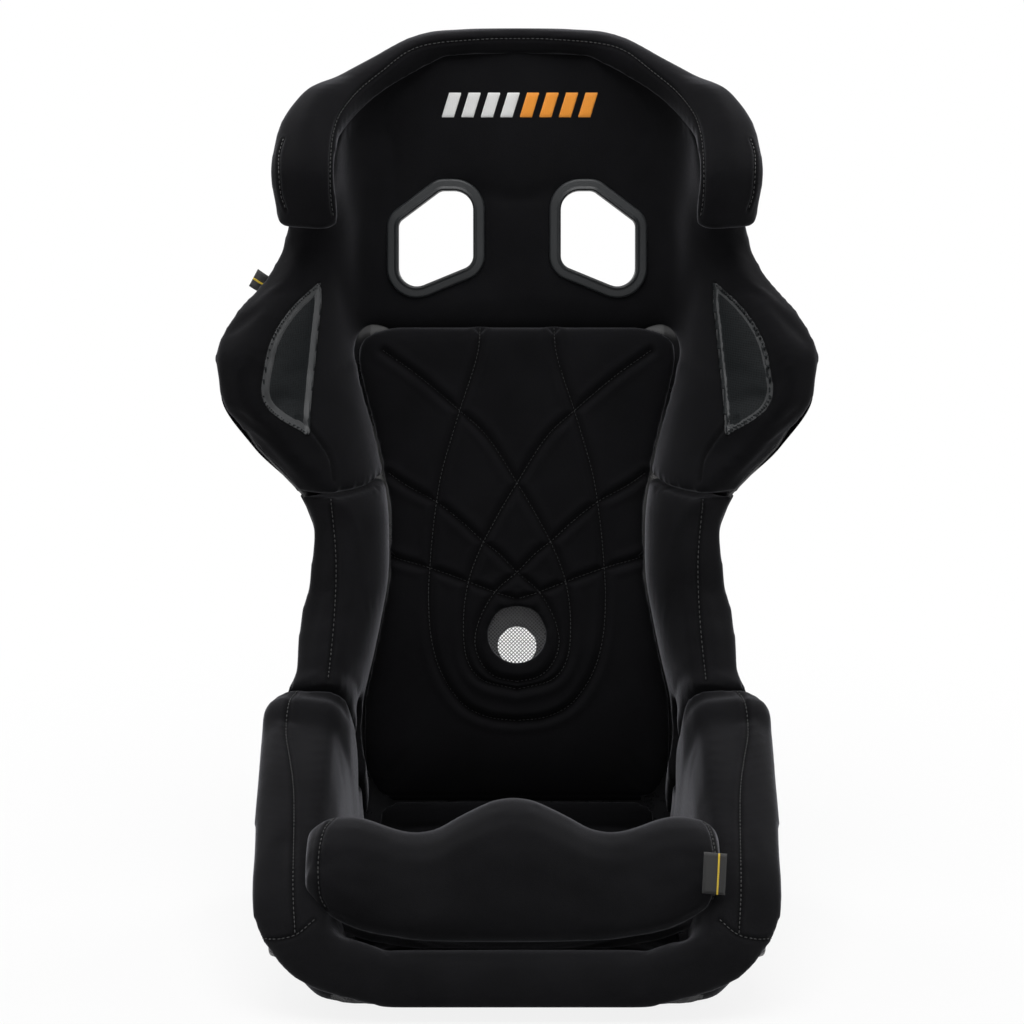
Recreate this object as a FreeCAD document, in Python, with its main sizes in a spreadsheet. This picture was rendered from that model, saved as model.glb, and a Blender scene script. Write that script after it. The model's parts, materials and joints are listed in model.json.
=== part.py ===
import FreeCAD, Part
import math
import os

from FreeCAD import Placement, Rotation, Vector

# Fixed-back racing bucket seat: a moulded composite shell, its sewn pads and loose cushions.
# X runs across the seat, Y towards its back, Z up. Sizes are in millimetres.

DIMENSIONS = [
    ("shell_height", 865),
    ("pan_reach", 322),
    ("hip_half_width", 245),
    ("hip_depth", 192),
    ("pan_half_floor", 178),
    ("waist_half_width", 203),
    ("waist_depth", 94),
    ("shoulder_half_width", 294),
    ("shoulder_depth", 148),
    ("back_half_floor", 138),
    ("head_half_width", 240),
    ("head_depth", 128),
    ("shell_wall", 4),
    ("pad_gap", 0.3),
    ("cover_thickness", 3),
    ("hem_length", 28),
    ("hip_foam", 56),
    ("rib_foam", 40),
    ("shoulder_foam", 38),
    ("head_foam", 60),
    ("edge_foam", 24),
    ("centre_pad_thickness", 20),
    ("cushion_thickness", 25),
    ("channel_width", 5),
    ("channel_depth", 3.5),
    ("vent_radius", 30),
    ("vent_hole_radius", 20),
    ("mesh_thickness", 1),
    ("harness_spacing", 167),
    ("harness_height", 653),
    ("bezel_rim", 12),
    ("bezel_flange", 5),
    ("bezel_sleeve_wall", 2.5),
    ("sleeve_clearance", 0.3),
    ("ring_fit", 0.15),
    ("ring_flange", 4),
    ("lap_slot_length", 72),
    ("lap_slot_width", 30),
    ("crotch_slot_length", 90),
    ("crotch_slot_width", 28),
    ("trim_wall", 2),
    ("trim_lip", 6),
    ("mount_spacing", 290),
    ("mount_front", -230),
    ("mount_height", 62),
    ("mount_half_width", 234),
    ("mount_pad_radius", 27),
    ("insert_radius", 8),
    ("insert_length", 10),
    ("thread_radius", 4),
    ("insert_clearance", 0.1),
    ("strip_thickness", 1.9),
    ("strip_width", 40),
    ("tag_thickness", 1.4),
    ("lap_slot_y", 76),
    ("lap_slot_z", 156),
    ("lap_slot_angle", 62),
    ("crotch_slot_y", -62),
    ("vent_height", 240),
    ("ring_rim", 10),
    ("bezel_round", 1.2),
    ("net_pitch", 11),
    ("net_strand", 2.4),
    ("net_height", 14),
    ("back_strip", 90),
    ("seat_strip", 90),
    ("back_strip_height", 390),
    ("swage_width", 34),
    ("swage_height", 5),
    ("swage_spacing", 150),
    ("thigh_front", -302),
    ("thigh_back", -92),
    ("thigh_seat", 35.6),
    ("thigh_rise", 22),
    ("pommel_height", 182),
    ("thigh_valley", 148),
    ("thigh_horn", 166),
    ("thigh_half_width", 189),
]

# Stations along the seat, from the front lip of the pan to the top of the head.
# Each: place, y, z, tilt of the section plane, then what is added to the zone's
# half floor, corner radius, half width, depth and foam.
ZONES = [
    (("pan_half_floor", "hip_half_width", "hip_depth", "hip_foam"), [
        (0.00, -322, 18, 90, -28, 10, -80, -183, -26),
        (0.10, -317, 17, 90, -20, 16, -51, -166, -22),
        (0.25, -304, 15, 90, -13, 28, -23, -134, -16),
        (0.50, -278, 11, 90, -6, 36, -8, -100, -10),
        (1.00, -230, 5, 90, -2, 42, -2, -66, -6),
        (2.00, -150, 0, 90, 0, 46, 0, -27, -2),
        (3.00, -60, 0, 90, 0, 48, 0, 0, 0),
        (4.00, 22, 0, 76, -4, 50, -1, 22, 2),
        (4.60, 87, 1, 66, -12, 52, -5, 38, 0),
        (4.95, 110, 11, 62, -18, 54, -9, 36, -3),
        (5.30, 127, 31, 58, -26, 54, -15, 34, -6),
    ]),
    (("back_half_floor", "waist_half_width", "waist_depth", "rib_foam"), [
        (6.00, 133, 137, 45, 5, 54, 17, 56, 4),
        (6.60, 143, 213, 30, 1, 52, 10, 18, 2),
        (7.10, 156, 272, 15, -2, 50, 4, 4, 0),
        (7.60, 167, 330, 0, -4, 50, 0, 0, 0),
        (8.00, 176, 375, 0, -4, 50, 0, 0, 0),
        (8.40, 184, 415, 0, -2, 52, 15, 8, 0),
    ]),
    (("back_half_floor", "shoulder_half_width", "shoulder_depth", "shoulder_foam"), [
        (8.90, 193, 465, 0, 0, 56, -32, -24, 0),
        (9.40, 202, 520, 0, 2, 60, -1, -2, 0),
        (9.80, 209, 556, 0, 2, 60, 0, 0, 0),
        (10.2, 215.5, 595, 0, 2, 56, -22, -26, 0),
        (10.5, 221, 630, 0, 2, 50, -52, -64, 0),
        (10.8, 225.6, 660, 0, 0, 44, -64, -82, 0),
    ]),
    (("back_half_floor", "head_half_width", "head_depth", "head_foam"), [
        (11.0, 228.7, 680, 0, -2, 46, -11, -50, -14),
        (11.2, 231.8, 700, 0, -6, 52, -4, -6, -2),
        (11.6, 236, 735, 0, -12, 56, 0, 0, 0),
        (12.0, 240, 768, 0, -20, 54, -12, -36, -6),
        (12.3, 243, 792, 0, -30, 46, -34, -66, -14),
        (12.6, 246, 815, 0, -42, 34, -63, -90, -22),
        (12.8, 248, 833, 0, -54, 24, -93, -104, -27),
        (13.0, 250, 850, 0, -76, 16, -128, -114, -30),
        (13.2, 251, 865, 0, -96, 8, -162, -120, -32),
    ]),
]

# Half width of the back cushion along the seat.
CUSHION_OUTLINE = [
    (5.62, 140), (5.70, 152), (5.80, 157), (6.00, 159), (6.30, 157), (6.60, 150), (7.00, 141), (7.60, 131), (8.00, 131),
    (8.40, 136), (8.90, 147), (9.40, 161), (9.60, 164), (9.75, 161), (9.82, 155), (9.88, 143), (9.91, 128),
]

# Outline of a harness slot: across from its middle (outer side positive), up along the back, corner radius.
HARNESS_OUTLINE = [(38.5, 18, 10), (-5, 50.5, 12), (-38.5, 50.5, 20), (-38.5, -25.5, 14), (38.5, -57, 19)]

BACK_PLACES = [5.62, 5.66, 5.80, 6.0, 6.3, 6.6, 7.1, 7.6, 8.0, 8.4, 8.9, 9.4, 9.6, 9.75, 9.82, 9.88, 9.91]

NOMINAL_HEIGHT = 865.0
NOMINAL_REACH = 322.0
NOMINAL_SHOULDER = 294.0
SECTION_PLACES = [row[0] for bases, rows in ZONES for row in rows]

doc = FreeCAD.newDocument("racing_seat")
sheet = doc.addObject("Spreadsheet::Sheet", "Sizes")
for row, (alias, value) in enumerate(DIMENSIONS, start=1):
    sheet.set("A%d" % row, alias)
    sheet.set("B%d" % row, str(value))
    sheet.setAlias("B%d" % row, alias)
doc.recompute()

parts = []


def size(alias):
    return float(getattr(sheet, alias))


def height(alias):
    """A height given for the nominal seat, moved with the height of the shell."""
    return size(alias) * RISE


RISE = size("shell_height") / NOMINAL_HEIGHT


# Curves of the station table

def monotone_slopes(places, values):
    count = len(places)
    slope = [(values[i + 1] - values[i]) / (places[i + 1] - places[i]) for i in range(count - 1)]
    result = [slope[0]] + [0.0] * (count - 2) + [slope[-1]]
    for i in range(1, count - 1):
        if slope[i - 1] * slope[i] > 0:
            before = places[i] - places[i - 1]
            after = places[i + 1] - places[i]
            first, second = 2 * after + before, after + 2 * before
            result[i] = (first + second) / (first / slope[i - 1] + second / slope[i])
    return result


def smooth_curve(points):
    """A function through the points that never overshoots them."""
    places = [p[0] for p in points]
    values = [p[1] for p in points]
    slopes = monotone_slopes(places, values)

    def value(place):
        i = 0
        while i < len(places) - 2 and place > places[i + 1]:
            i += 1
        step = places[i + 1] - places[i]
        t = (place - places[i]) / step
        return ((2 * t ** 3 - 3 * t ** 2 + 1) * values[i] + (t ** 3 - 2 * t ** 2 + t) * step * slopes[i]
                + (3 * t ** 2 - 2 * t ** 3) * values[i + 1] + (t ** 3 - t ** 2) * step * slopes[i + 1])
    return value


def station_curves():
    reach = size("pan_reach") / NOMINAL_REACH
    names = ("y", "z", "tilt", "floor", "corner", "width", "depth", "foam")
    columns = dict((name, []) for name in names)
    for bases, rows in ZONES:
        floor, width, depth, foam = (size(base) for base in bases)
        for place, y, z, tilt, add_floor, corner, add_width, add_depth, add_foam in rows:
            values = (y * reach if y < 0 else y, z * RISE, tilt, floor + add_floor, corner,
                      width + add_width, depth + add_depth, foam + add_foam)
            for name, value in zip(names, values):
                columns[name].append((place, value))
    return dict((name, smooth_curve(points)) for name, points in columns.items())


CURVES = station_curves()
cushion_half = smooth_curve(CUSHION_OUTLINE)


class Section:
    """The shell's outline in the plane across the seat at one place, in (across, up from the outer floor)."""

    def __init__(self, place):
        self.place = place
        for name, curve in CURVES.items():
            setattr(self, name, curve(place))
        across = self.width - self.floor
        up = self.depth - self.corner
        away = math.hypot(across, up)
        self.angle = math.atan2(up, across) - math.acos(self.corner / away)
        self.inward = (-math.cos(self.angle), -math.sin(self.angle))
        foot = self.on_corner(self.angle, 0.0)
        length = math.hypot(self.width - foot[0], self.depth - foot[1])
        self.down = ((foot[0] - self.width) / length, (foot[1] - self.depth) / length)
        self.wall = length

    def on_corner(self, angle, offset):
        radius = self.corner - offset
        return (self.floor + radius * math.cos(angle), self.corner + radius * math.sin(angle))

    def from_rim(self, down, inward):
        return (self.width + self.down[0] * down + self.inward[0] * inward,
                self.depth + self.down[1] * down + self.inward[1] * inward)

    def point(self, across, up):
        tilt = math.radians(self.tilt)
        return Vector(across, self.y - up * math.cos(tilt), self.z + up * math.sin(tilt))

    def corner_at(self, across, offset):
        """Angle on the rounded corner where it reaches the given half width."""
        radius = self.corner - offset
        reach = (across - self.floor) / radius
        if reach <= 0:
            return -math.pi / 2
        return max(-math.pi / 2, min(self.angle - 0.02, -math.acos(min(0.999, reach))))

    def direction(self, across, up):
        tilt = math.radians(self.tilt)
        return Vector(across, -up * math.cos(tilt), up * math.sin(tilt))


def mirrored(points):
    return [Vector(-p.x, p.y, p.z) for p in points]


def loft(outlines):
    """Solid through closed outlines that have the same number of points."""
    wires = [Part.makePolygon(points + [points[0]]) for points in outlines]
    return Part.makeLoft(wires, True, True, False)


def flat_face(points):
    return Part.Face(Part.makePolygon(points + [points[0]]))


def skin(outlines):
    """Solid through closed outlines, with flat facets between them: a soft form with few faces."""
    faces = [flat_face(outlines[0]), flat_face(outlines[-1])]
    for low, high in zip(outlines, outlines[1:]):
        for i in range(len(low)):
            a, b, c, d = low[i - 1], low[i], high[i], high[i - 1]
            if (a - c).Length <= (b - d).Length:
                triangles = ((a, b, c), (a, c, d))
            else:
                triangles = ((a, b, d), (b, c, d))
            faces += [flat_face(list(corners)) for corners in triangles]
    shell = Part.makeShell(faces)
    shell.sewShape()
    solid = Part.makeSolid(shell)
    if solid.Volume < 0:
        solid.reverse()
    return solid


def swelling(a, b, push, count):
    """Points between a and b on a curve that stands off the straight line by the vector push."""
    result = []
    for k in range(1, count):
        t = k / count
        result.append(a + (b - a) * t + push * (4 * t * (1 - t)))
    return result


CAP_FULLNESS = 0.65


def cap(a, b, rise, count):
    """Points between a and b on half an oval whose height is the vector rise."""
    middle = (a + b) * 0.5
    half = (b - a) * 0.5
    result = []
    for k in range(1, count):
        turn = math.pi * k / count
        across = math.copysign(abs(math.cos(turn)) ** CAP_FULLNESS, math.cos(turn))
        result.append(middle - half * across + rise * math.sin(turn) ** CAP_FULLNESS)
    return result


def between(first, last, count):
    return [first + (last - first) * k / (count - 1) for k in range(count)]


# Document objects

def keep(obj, label):
    obj.Label = label
    parts.append(obj)
    return obj


def shaped(label, shape):
    obj = doc.addObject("Part::Feature", label)
    obj.Shape = shape
    return keep(obj, label)


# Shell

CORNER_CHORDS = 4


def corner_points(s, offset, last=-math.pi / 2):
    steps = between(s.angle, last, CORNER_CHORDS + 1)
    return [s.on_corner(angle, offset) for angle in steps]


def shell_outline(place):
    s = Section(place)
    sides = []
    for offset in (0.0, size("shell_wall")):
        sides.append([s.point(*p) for p in [s.from_rim(0, offset)] + corner_points(s, offset)])
    outer, inner = sides
    return mirrored(outer) + outer[::-1] + inner + mirrored(inner)[::-1]


def surface_frame(place, t=0.0):
    """Placement on the middle of the shell's outer back: X across, Y up the back, Z out of the front."""
    s, above, below = Section(place), Section(place + 0.02), Section(place - 0.02)
    lean = math.degrees(math.atan2(above.z - below.z, above.y - below.y))
    return Placement(s.point(0, 0), Rotation(Vector(1, 0, 0), lean))


def place_at_height(z):
    low, high = 6.0, 13.2
    for _ in range(40):
        middle = (low + high) / 2
        if CURVES["z"](middle) < z:
            low = middle
        else:
            high = middle
    return (low + high) / 2


def arc_edges(centre, first, middle, last, chords):
    """The arc as one edge, or as the given number of chords."""
    if not chords:
        return [Part.Arc(first, middle, last).toShape()]
    start = math.atan2(first.y - centre.y, first.x - centre.x)
    turn = math.atan2(last.y - centre.y, last.x - centre.x) - start
    turn = (turn + math.pi) % (2 * math.pi) - math.pi
    radius = (first - centre).Length
    angles = [start + turn * k / chords for k in range(1, chords)]
    inner = [centre + Vector(math.cos(angle), math.sin(angle), 0) * radius for angle in angles]
    points = [first] + inner + [last]
    return [Part.makeLine(a, b) for a, b in zip(points, points[1:])]


def rounded_outline(corners, grow=0.0, chords=0):
    """Closed wire through corners (x, y, radius) of a convex outline, grown outward by an offset."""
    count = len(corners)
    edges = []
    ends = []
    for i in range(count):
        x, y, radius = corners[i]
        before = Vector(*corners[i - 1][:2], 0)
        after = Vector(*corners[(i + 1) % count][:2], 0)
        here = Vector(x, y, 0)
        a = (before - here).normalize()
        b = (after - here).normalize()
        half = math.acos(max(-1, min(1, a.dot(b)))) / 2
        reach = radius / math.tan(half)
        centre = here + (a + b).normalize() * (radius / math.sin(half))
        directions = [here + a * reach - centre, here - centre, here + b * reach - centre]
        first, middle, last = (centre + direction.normalize() * (radius + grow) for direction in directions)
        edges += arc_edges(centre, first, middle, last, chords)
        ends.append((first, last))
    for i in range(count):
        edges.append(Part.makeLine(ends[i][1], ends[(i + 1) % count][0]))
    return Part.Wire(Part.__sortEdges__(edges))


def prism(wire, low, high):
    face = Part.Face(wire)
    face.translate(Vector(0, 0, low))
    return face.extrude(Vector(0, 0, high - low))


HARNESS_CHORDS = 3


def harness_wire(side, grow=0.0):
    corners = [(side * x, y, radius) for x, y, radius in HARNESS_OUTLINE]
    return rounded_outline(corners, grow, HARNESS_CHORDS)


def harness_frame(side):
    frame = surface_frame(place_at_height(height("harness_height")))
    return frame.multiply(Placement(Vector(side * size("harness_spacing") / 2, 0, 0), Rotation()))


# Pads that wrap the rim of the shell

FACE_CHORDS = 4
CAP_CHORDS = 5


def rim_pad_outline(at, shell_side, inner_end, foam, rise, bulge, hem):
    """Outline of a rim pad in one plane. The function at(down, inward) gives points from the rim of the shell."""
    gap, wall, cover = size("pad_gap"), size("shell_wall"), size("cover_thickness")
    out = at(-1, 0) - at(0, 0)
    inward = at(0, 1) - at(0, 0)
    edge_in = at(foam * 0.18, wall + foam)
    edge_out = at(foam * 0.12, -gap - cover)
    back = [at(hem, -gap), at(-gap, -gap), at(-gap, wall + gap)] + shell_side
    face = swelling(inner_end, edge_in, inward * bulge, FACE_CHORDS)
    top = cap(edge_in, edge_out, out * (rise + foam * 0.18), CAP_CHORDS)
    return back + [inner_end] + face + [edge_in] + top + [edge_out, at(hem, -gap - cover)]


def side_pad_outline(place, reach, edge, foam=None, rise=10.0, bulge=6.0, sunk=0.0):
    """Rim pad from the rim down to the given half width, in the section plane of one place."""
    s = Section(place)
    foam = (s.foam if foam is None else foam) - sunk
    gap, wall = size("pad_gap"), size("shell_wall")

    def at(down, inward):
        return s.point(*s.from_rim(down, inward))
    last = s.corner_at(reach, wall + gap)
    shell_side = [s.point(*p) for p in corner_points(s, wall + gap, last)]
    inner_end = s.point(reach, wall + edge - sunk)
    return rim_pad_outline(at, shell_side, inner_end, foam, rise, bulge, size("hem_length"))


def rim_frame(place, upright):
    """Rim point with down, inward and along directions; upright 1 keeps the section plane, 0 is square to the rim."""
    s = Section(place)
    step = 0.03
    low, high = Section(max(0.0, place - step)), Section(min(13.2, place + step))
    here = s.point(s.width, s.depth)
    along = (high.point(high.width, high.depth) - low.point(low.width, low.depth)).normalize()
    plane = Vector(0, math.sin(math.radians(s.tilt)), math.cos(math.radians(s.tilt)))
    along = (plane * upright + along * (1 - upright)).normalize()
    inward = s.direction(*s.inward)
    inward = (inward - along * inward.dot(along)).normalize()
    down = along.cross(inward)
    if down.dot(s.direction(*s.down)) < 0:
        down = down * -1
    return here, down, inward


def band_outline(frame, reach, foam, rise, bulge, hem, lift=0.0):
    here, down, inward = frame
    gap, wall = size("pad_gap"), size("shell_wall")

    def at(u, v):
        return here + down * u + inward * v
    shell_side = [at(reach * k / 5.0, wall + gap + lift * k / 5.0) for k in range(1, 6)]
    inner_end = at(reach, wall + foam * 0.82)
    return rim_pad_outline(at, shell_side, inner_end, foam, rise, bulge, hem)


def cushion_edge(place):
    return cushion_half(min(place, BACK_PLACES[-6])) + 1.5


SIDE_PADS = [
    # label, places with the half width that the pad reaches, edge height, rise and bulge
    ("hip_pad", [(0.30, 158, 24, 9, 3), (0.50, 164, 24, 9, 3), (1.0, 166, 24, 10, 3), (2.0, 166, 24, 10, 3),
                 (3.0, 166, 24, 10, 4), (4.0, 164, 24, 11, 4), (4.6, 160, 24, 11, 4), (4.95, 158, 24, 11, 4),
                 (5.30, 160, 26, 11, 4), (5.7, 168, 30, 11, 2), (5.98, 180, 34, 9, 0)]),
    ("rib_pad", [(6.06, 0, 22, 8, 4), (6.2, 0, 22, 9, 6), (6.6, 0, 22, 9, 8), (7.1, 0, 22, 9, 8), (7.6, 0, 22, 9, 9),
                 (8.0, 0, 22, 9, 9), (8.38, 0, 22, 9, 9)]),
    ("shoulder_pad", [(8.42, 0, 22, 9, 9), (8.9, 0, 22, 9, 9), (9.4, 0, 22, 9, 8), (9.8, 0, 22, 9, 8),
                      (10.2, 160, 20, 9, 7), (10.5, 160, 20, 9, 6), (10.8, 160, 20, 9, 6), (10.96, 160, 20, 8, 6)]),
]


def side_pad(rows, sunk=0.0):
    first, last = rows[0][0], rows[-1][0]
    stops = SECTION_PLACES + BACK_PLACES + [first, last]
    stops = sorted(set(place for place in stops if first <= place <= last))
    columns = [smooth_curve([(row[0], row[k]) for row in rows]) for k in range(1, 5)]
    outlines = []
    for place in stops:
        reach, edge, rise, bulge = (column(place) for column in columns)
        if rows[0][1] == 0:
            reach = max(cushion_edge(place), reach)
        outlines.append(side_pad_outline(place, reach, edge, None, rise, bulge, sunk))
    return skin(outlines)


def mirror_shape(shape):
    return shape.mirror(Vector(0, 0, 0), Vector(1, 0, 0))


# Band round the ears and the top of the head

def head_band(extra=0.0):
    hem = size("hem_length") * 0.9
    side = []
    for place in (11.07, 11.2, 11.6, 12.0, 12.3, 12.6, 12.8, 13.0, 13.16):
        upright = max(0.0, min(1.0, (12.6 - place) / 1.0))
        foam = Section(place).foam
        rise = 4.0 + 8.0 * min(1.0, (foam - 28) / 25.0)
        side.append(band_outline(rim_frame(place, upright), 10.0 + extra, foam + 25 * extra, rise, 0.0, hem))
    s = Section(13.2)
    top = []
    for across in (46, 23, 0):
        frame = (Vector(across, s.y - 6 * across / 46.0, s.z), Vector(0, 0, -1), Vector(0, -1, 0))
        top.append(band_outline(frame, 10.0 + extra, s.foam + 25 * extra, 3.5, 0.0, hem))
    right = side + top
    left = [mirrored(outline) for outline in right[-2::-1]]
    return skin(right + left)


def nose_pad():
    foam = size("edge_foam") + 6
    front, behind = Section(0.0), Section(0.25)
    slope = (behind.point(0, 0) - front.point(0, 0)).normalize()
    outlines = []
    for across in (0, 60, 120):
        frame = (Vector(across, front.y, front.z), slope, Vector(0, -slope.z, slope.y))
        outlines.append(band_outline(frame, 52.0, foam, 9.0, 2.0, size("hem_length")))
    for place, reach, lift in ((0.02, 44.0, 2.0), (0.12, 30.0, 5.0)):
        outlines.append(band_outline(rim_frame(place, 0.0), reach, foam + 2, 9.0, 1.0, size("hem_length"), lift))
    outlines.append(side_pad_outline(0.27, 158.0, 24, None, 9, 3))
    left = [mirrored(outline) for outline in outlines[:0:-1]]
    return skin(left + outlines)


def clear_of_head(band):
    """The head band without anything nearer to the shell than the pad gap."""
    gap, wall = size("pad_gap"), size("shell_wall")
    outlines = []
    for place in SECTION_PLACES[-10:]:
        s = Section(place)
        outer = [s.point(*p) for p in [s.from_rim(-gap, -gap)] + corner_points(s, -gap)]
        inner = [s.point(*p) for p in [s.from_rim(-gap, wall + gap)] + corner_points(s, wall + gap)]
        outlines.append(mirrored(outer) + outer[::-1] + inner + mirrored(inner)[::-1])
    outlines.append([point + Vector(0, 0, gap) for point in outlines[-1]])
    band = band.cut(skin(outlines))
    return max(band.Solids, key=lambda solid: solid.Volume)


# Padding of the head and upper back

def head_lining_outline(place, from_rim):
    s = Section(place)
    gap, wall = size("pad_gap"), size("shell_wall")
    thick = size("centre_pad_thickness")
    if from_rim:
        start_back = s.from_rim(10.6, wall + gap)
        start_face = s.from_rim(10.6, wall + s.foam * 0.8)
        back = [start_back] + corner_points(s, wall + gap)
        knee = (start_face[0] - 4, wall + thick)
    else:
        last = s.corner_at(158.5, wall + gap)
        angles = between(last, -math.pi / 2, CORNER_CHORDS + 1)
        back = [s.on_corner(last, wall + gap)] + [s.on_corner(a, wall + gap) for a in angles]
        back[0] = (158.5, wall + gap + 2.0 + s.on_corner(last, wall + gap)[1] - wall - gap)
        start_face = (158.5, wall + thick)
        knee = (150.0, wall + thick)
    flat = (min(knee[0] - 6, max(s.floor - 12, 20)), wall + thick)
    face = []
    for k in range(1, 5):
        t = k / 5.0
        face.append(tuple(start_face[i] * (1 - t) ** 2 + 2 * knee[i] * t * (1 - t) + flat[i] * t * t for i in (0, 1)))
    right = [flat] + face[::-1] + [start_face] + back
    right = [s.point(*p) for p in right]
    return right + mirrored(right)[::-1]


def head_lining():
    low = [9.96, 10.2, 10.5, 10.8, 10.98]
    high = [11.05, 11.2, 11.6, 12.0, 12.3, 12.6, 12.8, 13.0, 13.1]
    return skin([head_lining_outline(p, False) for p in low] + [head_lining_outline(p, True) for p in high])


# Loose cushions

def cushion_outline(s, half, thick, under, crown=4.0):
    """Cushion section: flat back, drawn-in sides, crowned front."""
    low, high = under, under + thick
    right = [(half - 9, low), (half - 3, low + thick * 0.25), (half, low + thick * 0.55), (half - 4, high - 2.5),
             (half - 14, high + crown * 0.2), (half * 0.62, high + crown * 0.75), (half * 0.3, high + crown)]
    right = [s.point(*p) for p in right]
    return right + mirrored(right)[::-1]



def back_cushion(sunk=0.0):
    under = size("shell_wall") + size("strip_thickness") + 3 * size("pad_gap")
    outlines = []
    for place in BACK_PLACES:
        s = Section(place)
        half = cushion_half(place)
        lift = max(0.0, s.on_corner(s.corner_at(half - 9, 4.3), 4.3)[1] - 4.3 - 2.0)
        end = 5.0 if place in (BACK_PLACES[0], BACK_PLACES[-1]) else 0.0
        outlines.append(cushion_outline(s, half, size("cushion_thickness") - sunk - end - lift, under + lift))
    return skin(outlines)


SEAT_PLACES = [(0.64, 150, -7), (0.70, 156, -1), (1.0, 159, 0), (2.0, 161, 0), (3.0, 161, 0), (4.0, 158, 0), (4.6, 154, 0),
               (4.95, 150, 0), (5.30, 146, 0), (5.52, 140, -3), (5.56, 132, -8)]


def seat_cushion():
    under = size("shell_wall") + size("strip_thickness") + 3 * size("pad_gap")
    outlines = []
    for place, half, thinner in SEAT_PLACES:
        outlines.append(cushion_outline(Section(place), half, size("cushion_thickness") + thinner, under, 3.0))
    return skin(outlines)


def thigh_outline(across, top, lift, drawn):
    """Closed outline across the thigh pad at one distance from the middle, drawn in towards its own middle."""
    front, back = size("thigh_front"), size("thigh_back")
    low = size("thigh_seat")
    lip = low + size("thigh_rise") + lift
    under = low + lift
    points = [(back, under), (front + 66, under + 5), (front + 34, lip), (front + 10, lip + 3), (front - 2, lip + 16),
              (front - 6, lip + 38), (front, top - 34), (front + 14, top - 12), (front + 34, top - 2), (front + 56, top),
              (front + 82, top - 8), (front + 112, top - (top - under) * 0.3), (front + 150, top - (top - under) * 0.58),
              (back - 22, under + 20), (back - 3, under + 9)]
    middle_y, middle_z = front + 62, (top + lip) / 2 + 6
    return [Vector(across, middle_y + (y - middle_y) * drawn, middle_z + (z - middle_z) * drawn) for y, z in points]


def thigh_pad():
    """Front cushion with its pommel in the middle and a horn at each end."""
    half = size("thigh_half_width")
    pommel, valley, horn = size("pommel_height"), size("thigh_valley"), size("thigh_horn")
    rows = [(0, pommel, 0, 1), (16, pommel - 2, 0, 1), (34, pommel - 10, 0, 1), (54, (pommel + valley) / 2 - 3, 0, 1),
            (74, valley + 3, 0, 1), (94, valley, 0, 1), (116, valley + 5, 0, 1), (138, horn - 4, 1, 1),
            (156, horn, 4, 0.98), (half - 19, horn - 1, 14, 0.92), (half - 8, horn - 5, 24, 0.84), (half, horn - 12, 30, 0.70)]
    right = [thigh_outline(*row) for row in rows]
    left = [mirrored(outline) for outline in right[:0:-1]]
    return skin(left + right)


def clear_of_hips(thigh, hip):
    """The thigh pad, which lies on the hip pads' front ends, with the gap left under it."""
    gap = size("pad_gap")
    for side, pad in ((1, hip), (-1, mirror_shape(hip))):
        for move in (Vector(-side * gap, 0, 0), Vector(0, 0, gap)):
            near = pad.copy()
            near.translate(move)
            thigh = thigh.cut(near)
    return max(thigh.Solids, key=lambda solid: solid.Volume)


# Shell with its openings, mounting pads and swages

SLOT_CHORDS = 3


def slot_outline(half_length, half_width, corner):
    return rounded_outline([(-half_length, -half_width, corner), (half_length, -half_width, corner),
                            (half_length, half_width, corner), (-half_length, half_width, corner)], 0.0, SLOT_CHORDS)


def lap_slot_wire(grow=0.0):
    """Lap-belt slot in the side view, along its own length."""
    half_length = size("lap_slot_length") / 2 + grow
    half_width = size("lap_slot_width") / 2 + grow
    corner = half_width * 0.98
    return slot_outline(half_length, half_width, corner)


def lap_frame():
    """At the hip, square to X: local X runs along the slot."""
    turn = Rotation(Vector(0, 1, 0), Vector(0, 0, 1), Vector(1, 0, 0), "ZXY")
    return Placement(Vector(0, size("lap_slot_y"), height("lap_slot_z")), turn).multiply(
        Placement(Vector(), Rotation(Vector(0, 0, 1), size("lap_slot_angle"))))


def placed(shape, placement):
    shape = shape.copy()
    shape.Placement = placement.multiply(shape.Placement)
    return shape


def lap_prism(grow, low, high):
    return placed(prism(lap_slot_wire(grow), low, high), lap_frame())


def crotch_wire(grow=0.0):
    half_length = size("crotch_slot_length") / 2 + grow
    half_width = size("crotch_slot_width") / 2 + grow
    corner = half_width * 0.98
    return slot_outline(half_length, half_width, corner)


def crotch_prism(grow, low, high):
    return placed(prism(crotch_wire(grow), low, high), Placement(Vector(0, size("crotch_slot_y"), 0), Rotation()))


def mount_points():
    front = size("mount_front")
    return [(y, size("mount_height")) for y in (front, front + size("mount_spacing"))]


def inner_volume():
    """Everything inside the shell's wall, which the mounting pads must not reach."""
    outlines = []
    wall = size("shell_wall")
    for place in SECTION_PLACES[:14]:
        s = Section(place)
        right = [s.point(*p) for p in [s.from_rim(0, wall)] + corner_points(s, wall)]
        outlines.append(mirrored(right) + right[::-1])
    return skin(outlines)


MOUNT_PAD_SIDES = 16
MOUNT_PAD_DEPTH = 40.0
MOUNT_PAD_FLARE = 0.35
BORE_BEHIND = 1.0


def mount_pad(y, z):
    """Moulded pad that gives the slanted side a flat upright face."""
    radius, face = size("mount_pad_radius"), size("mount_half_width")
    outlines = []
    for depth, edge in ((MOUNT_PAD_DEPTH, 0.0), (1.5, 0.0), (0.0, 1.5)):
        reach = radius + depth * MOUNT_PAD_FLARE - edge
        turns = [2 * math.pi * k / MOUNT_PAD_SIDES for k in range(MOUNT_PAD_SIDES)]
        outlines.append([Vector(face - depth, y + reach * math.cos(t), z + reach * math.sin(t)) for t in turns])
    return skin(outlines)


def vent_frame():
    return surface_frame(place_at_height(height("vent_height")))


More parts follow.
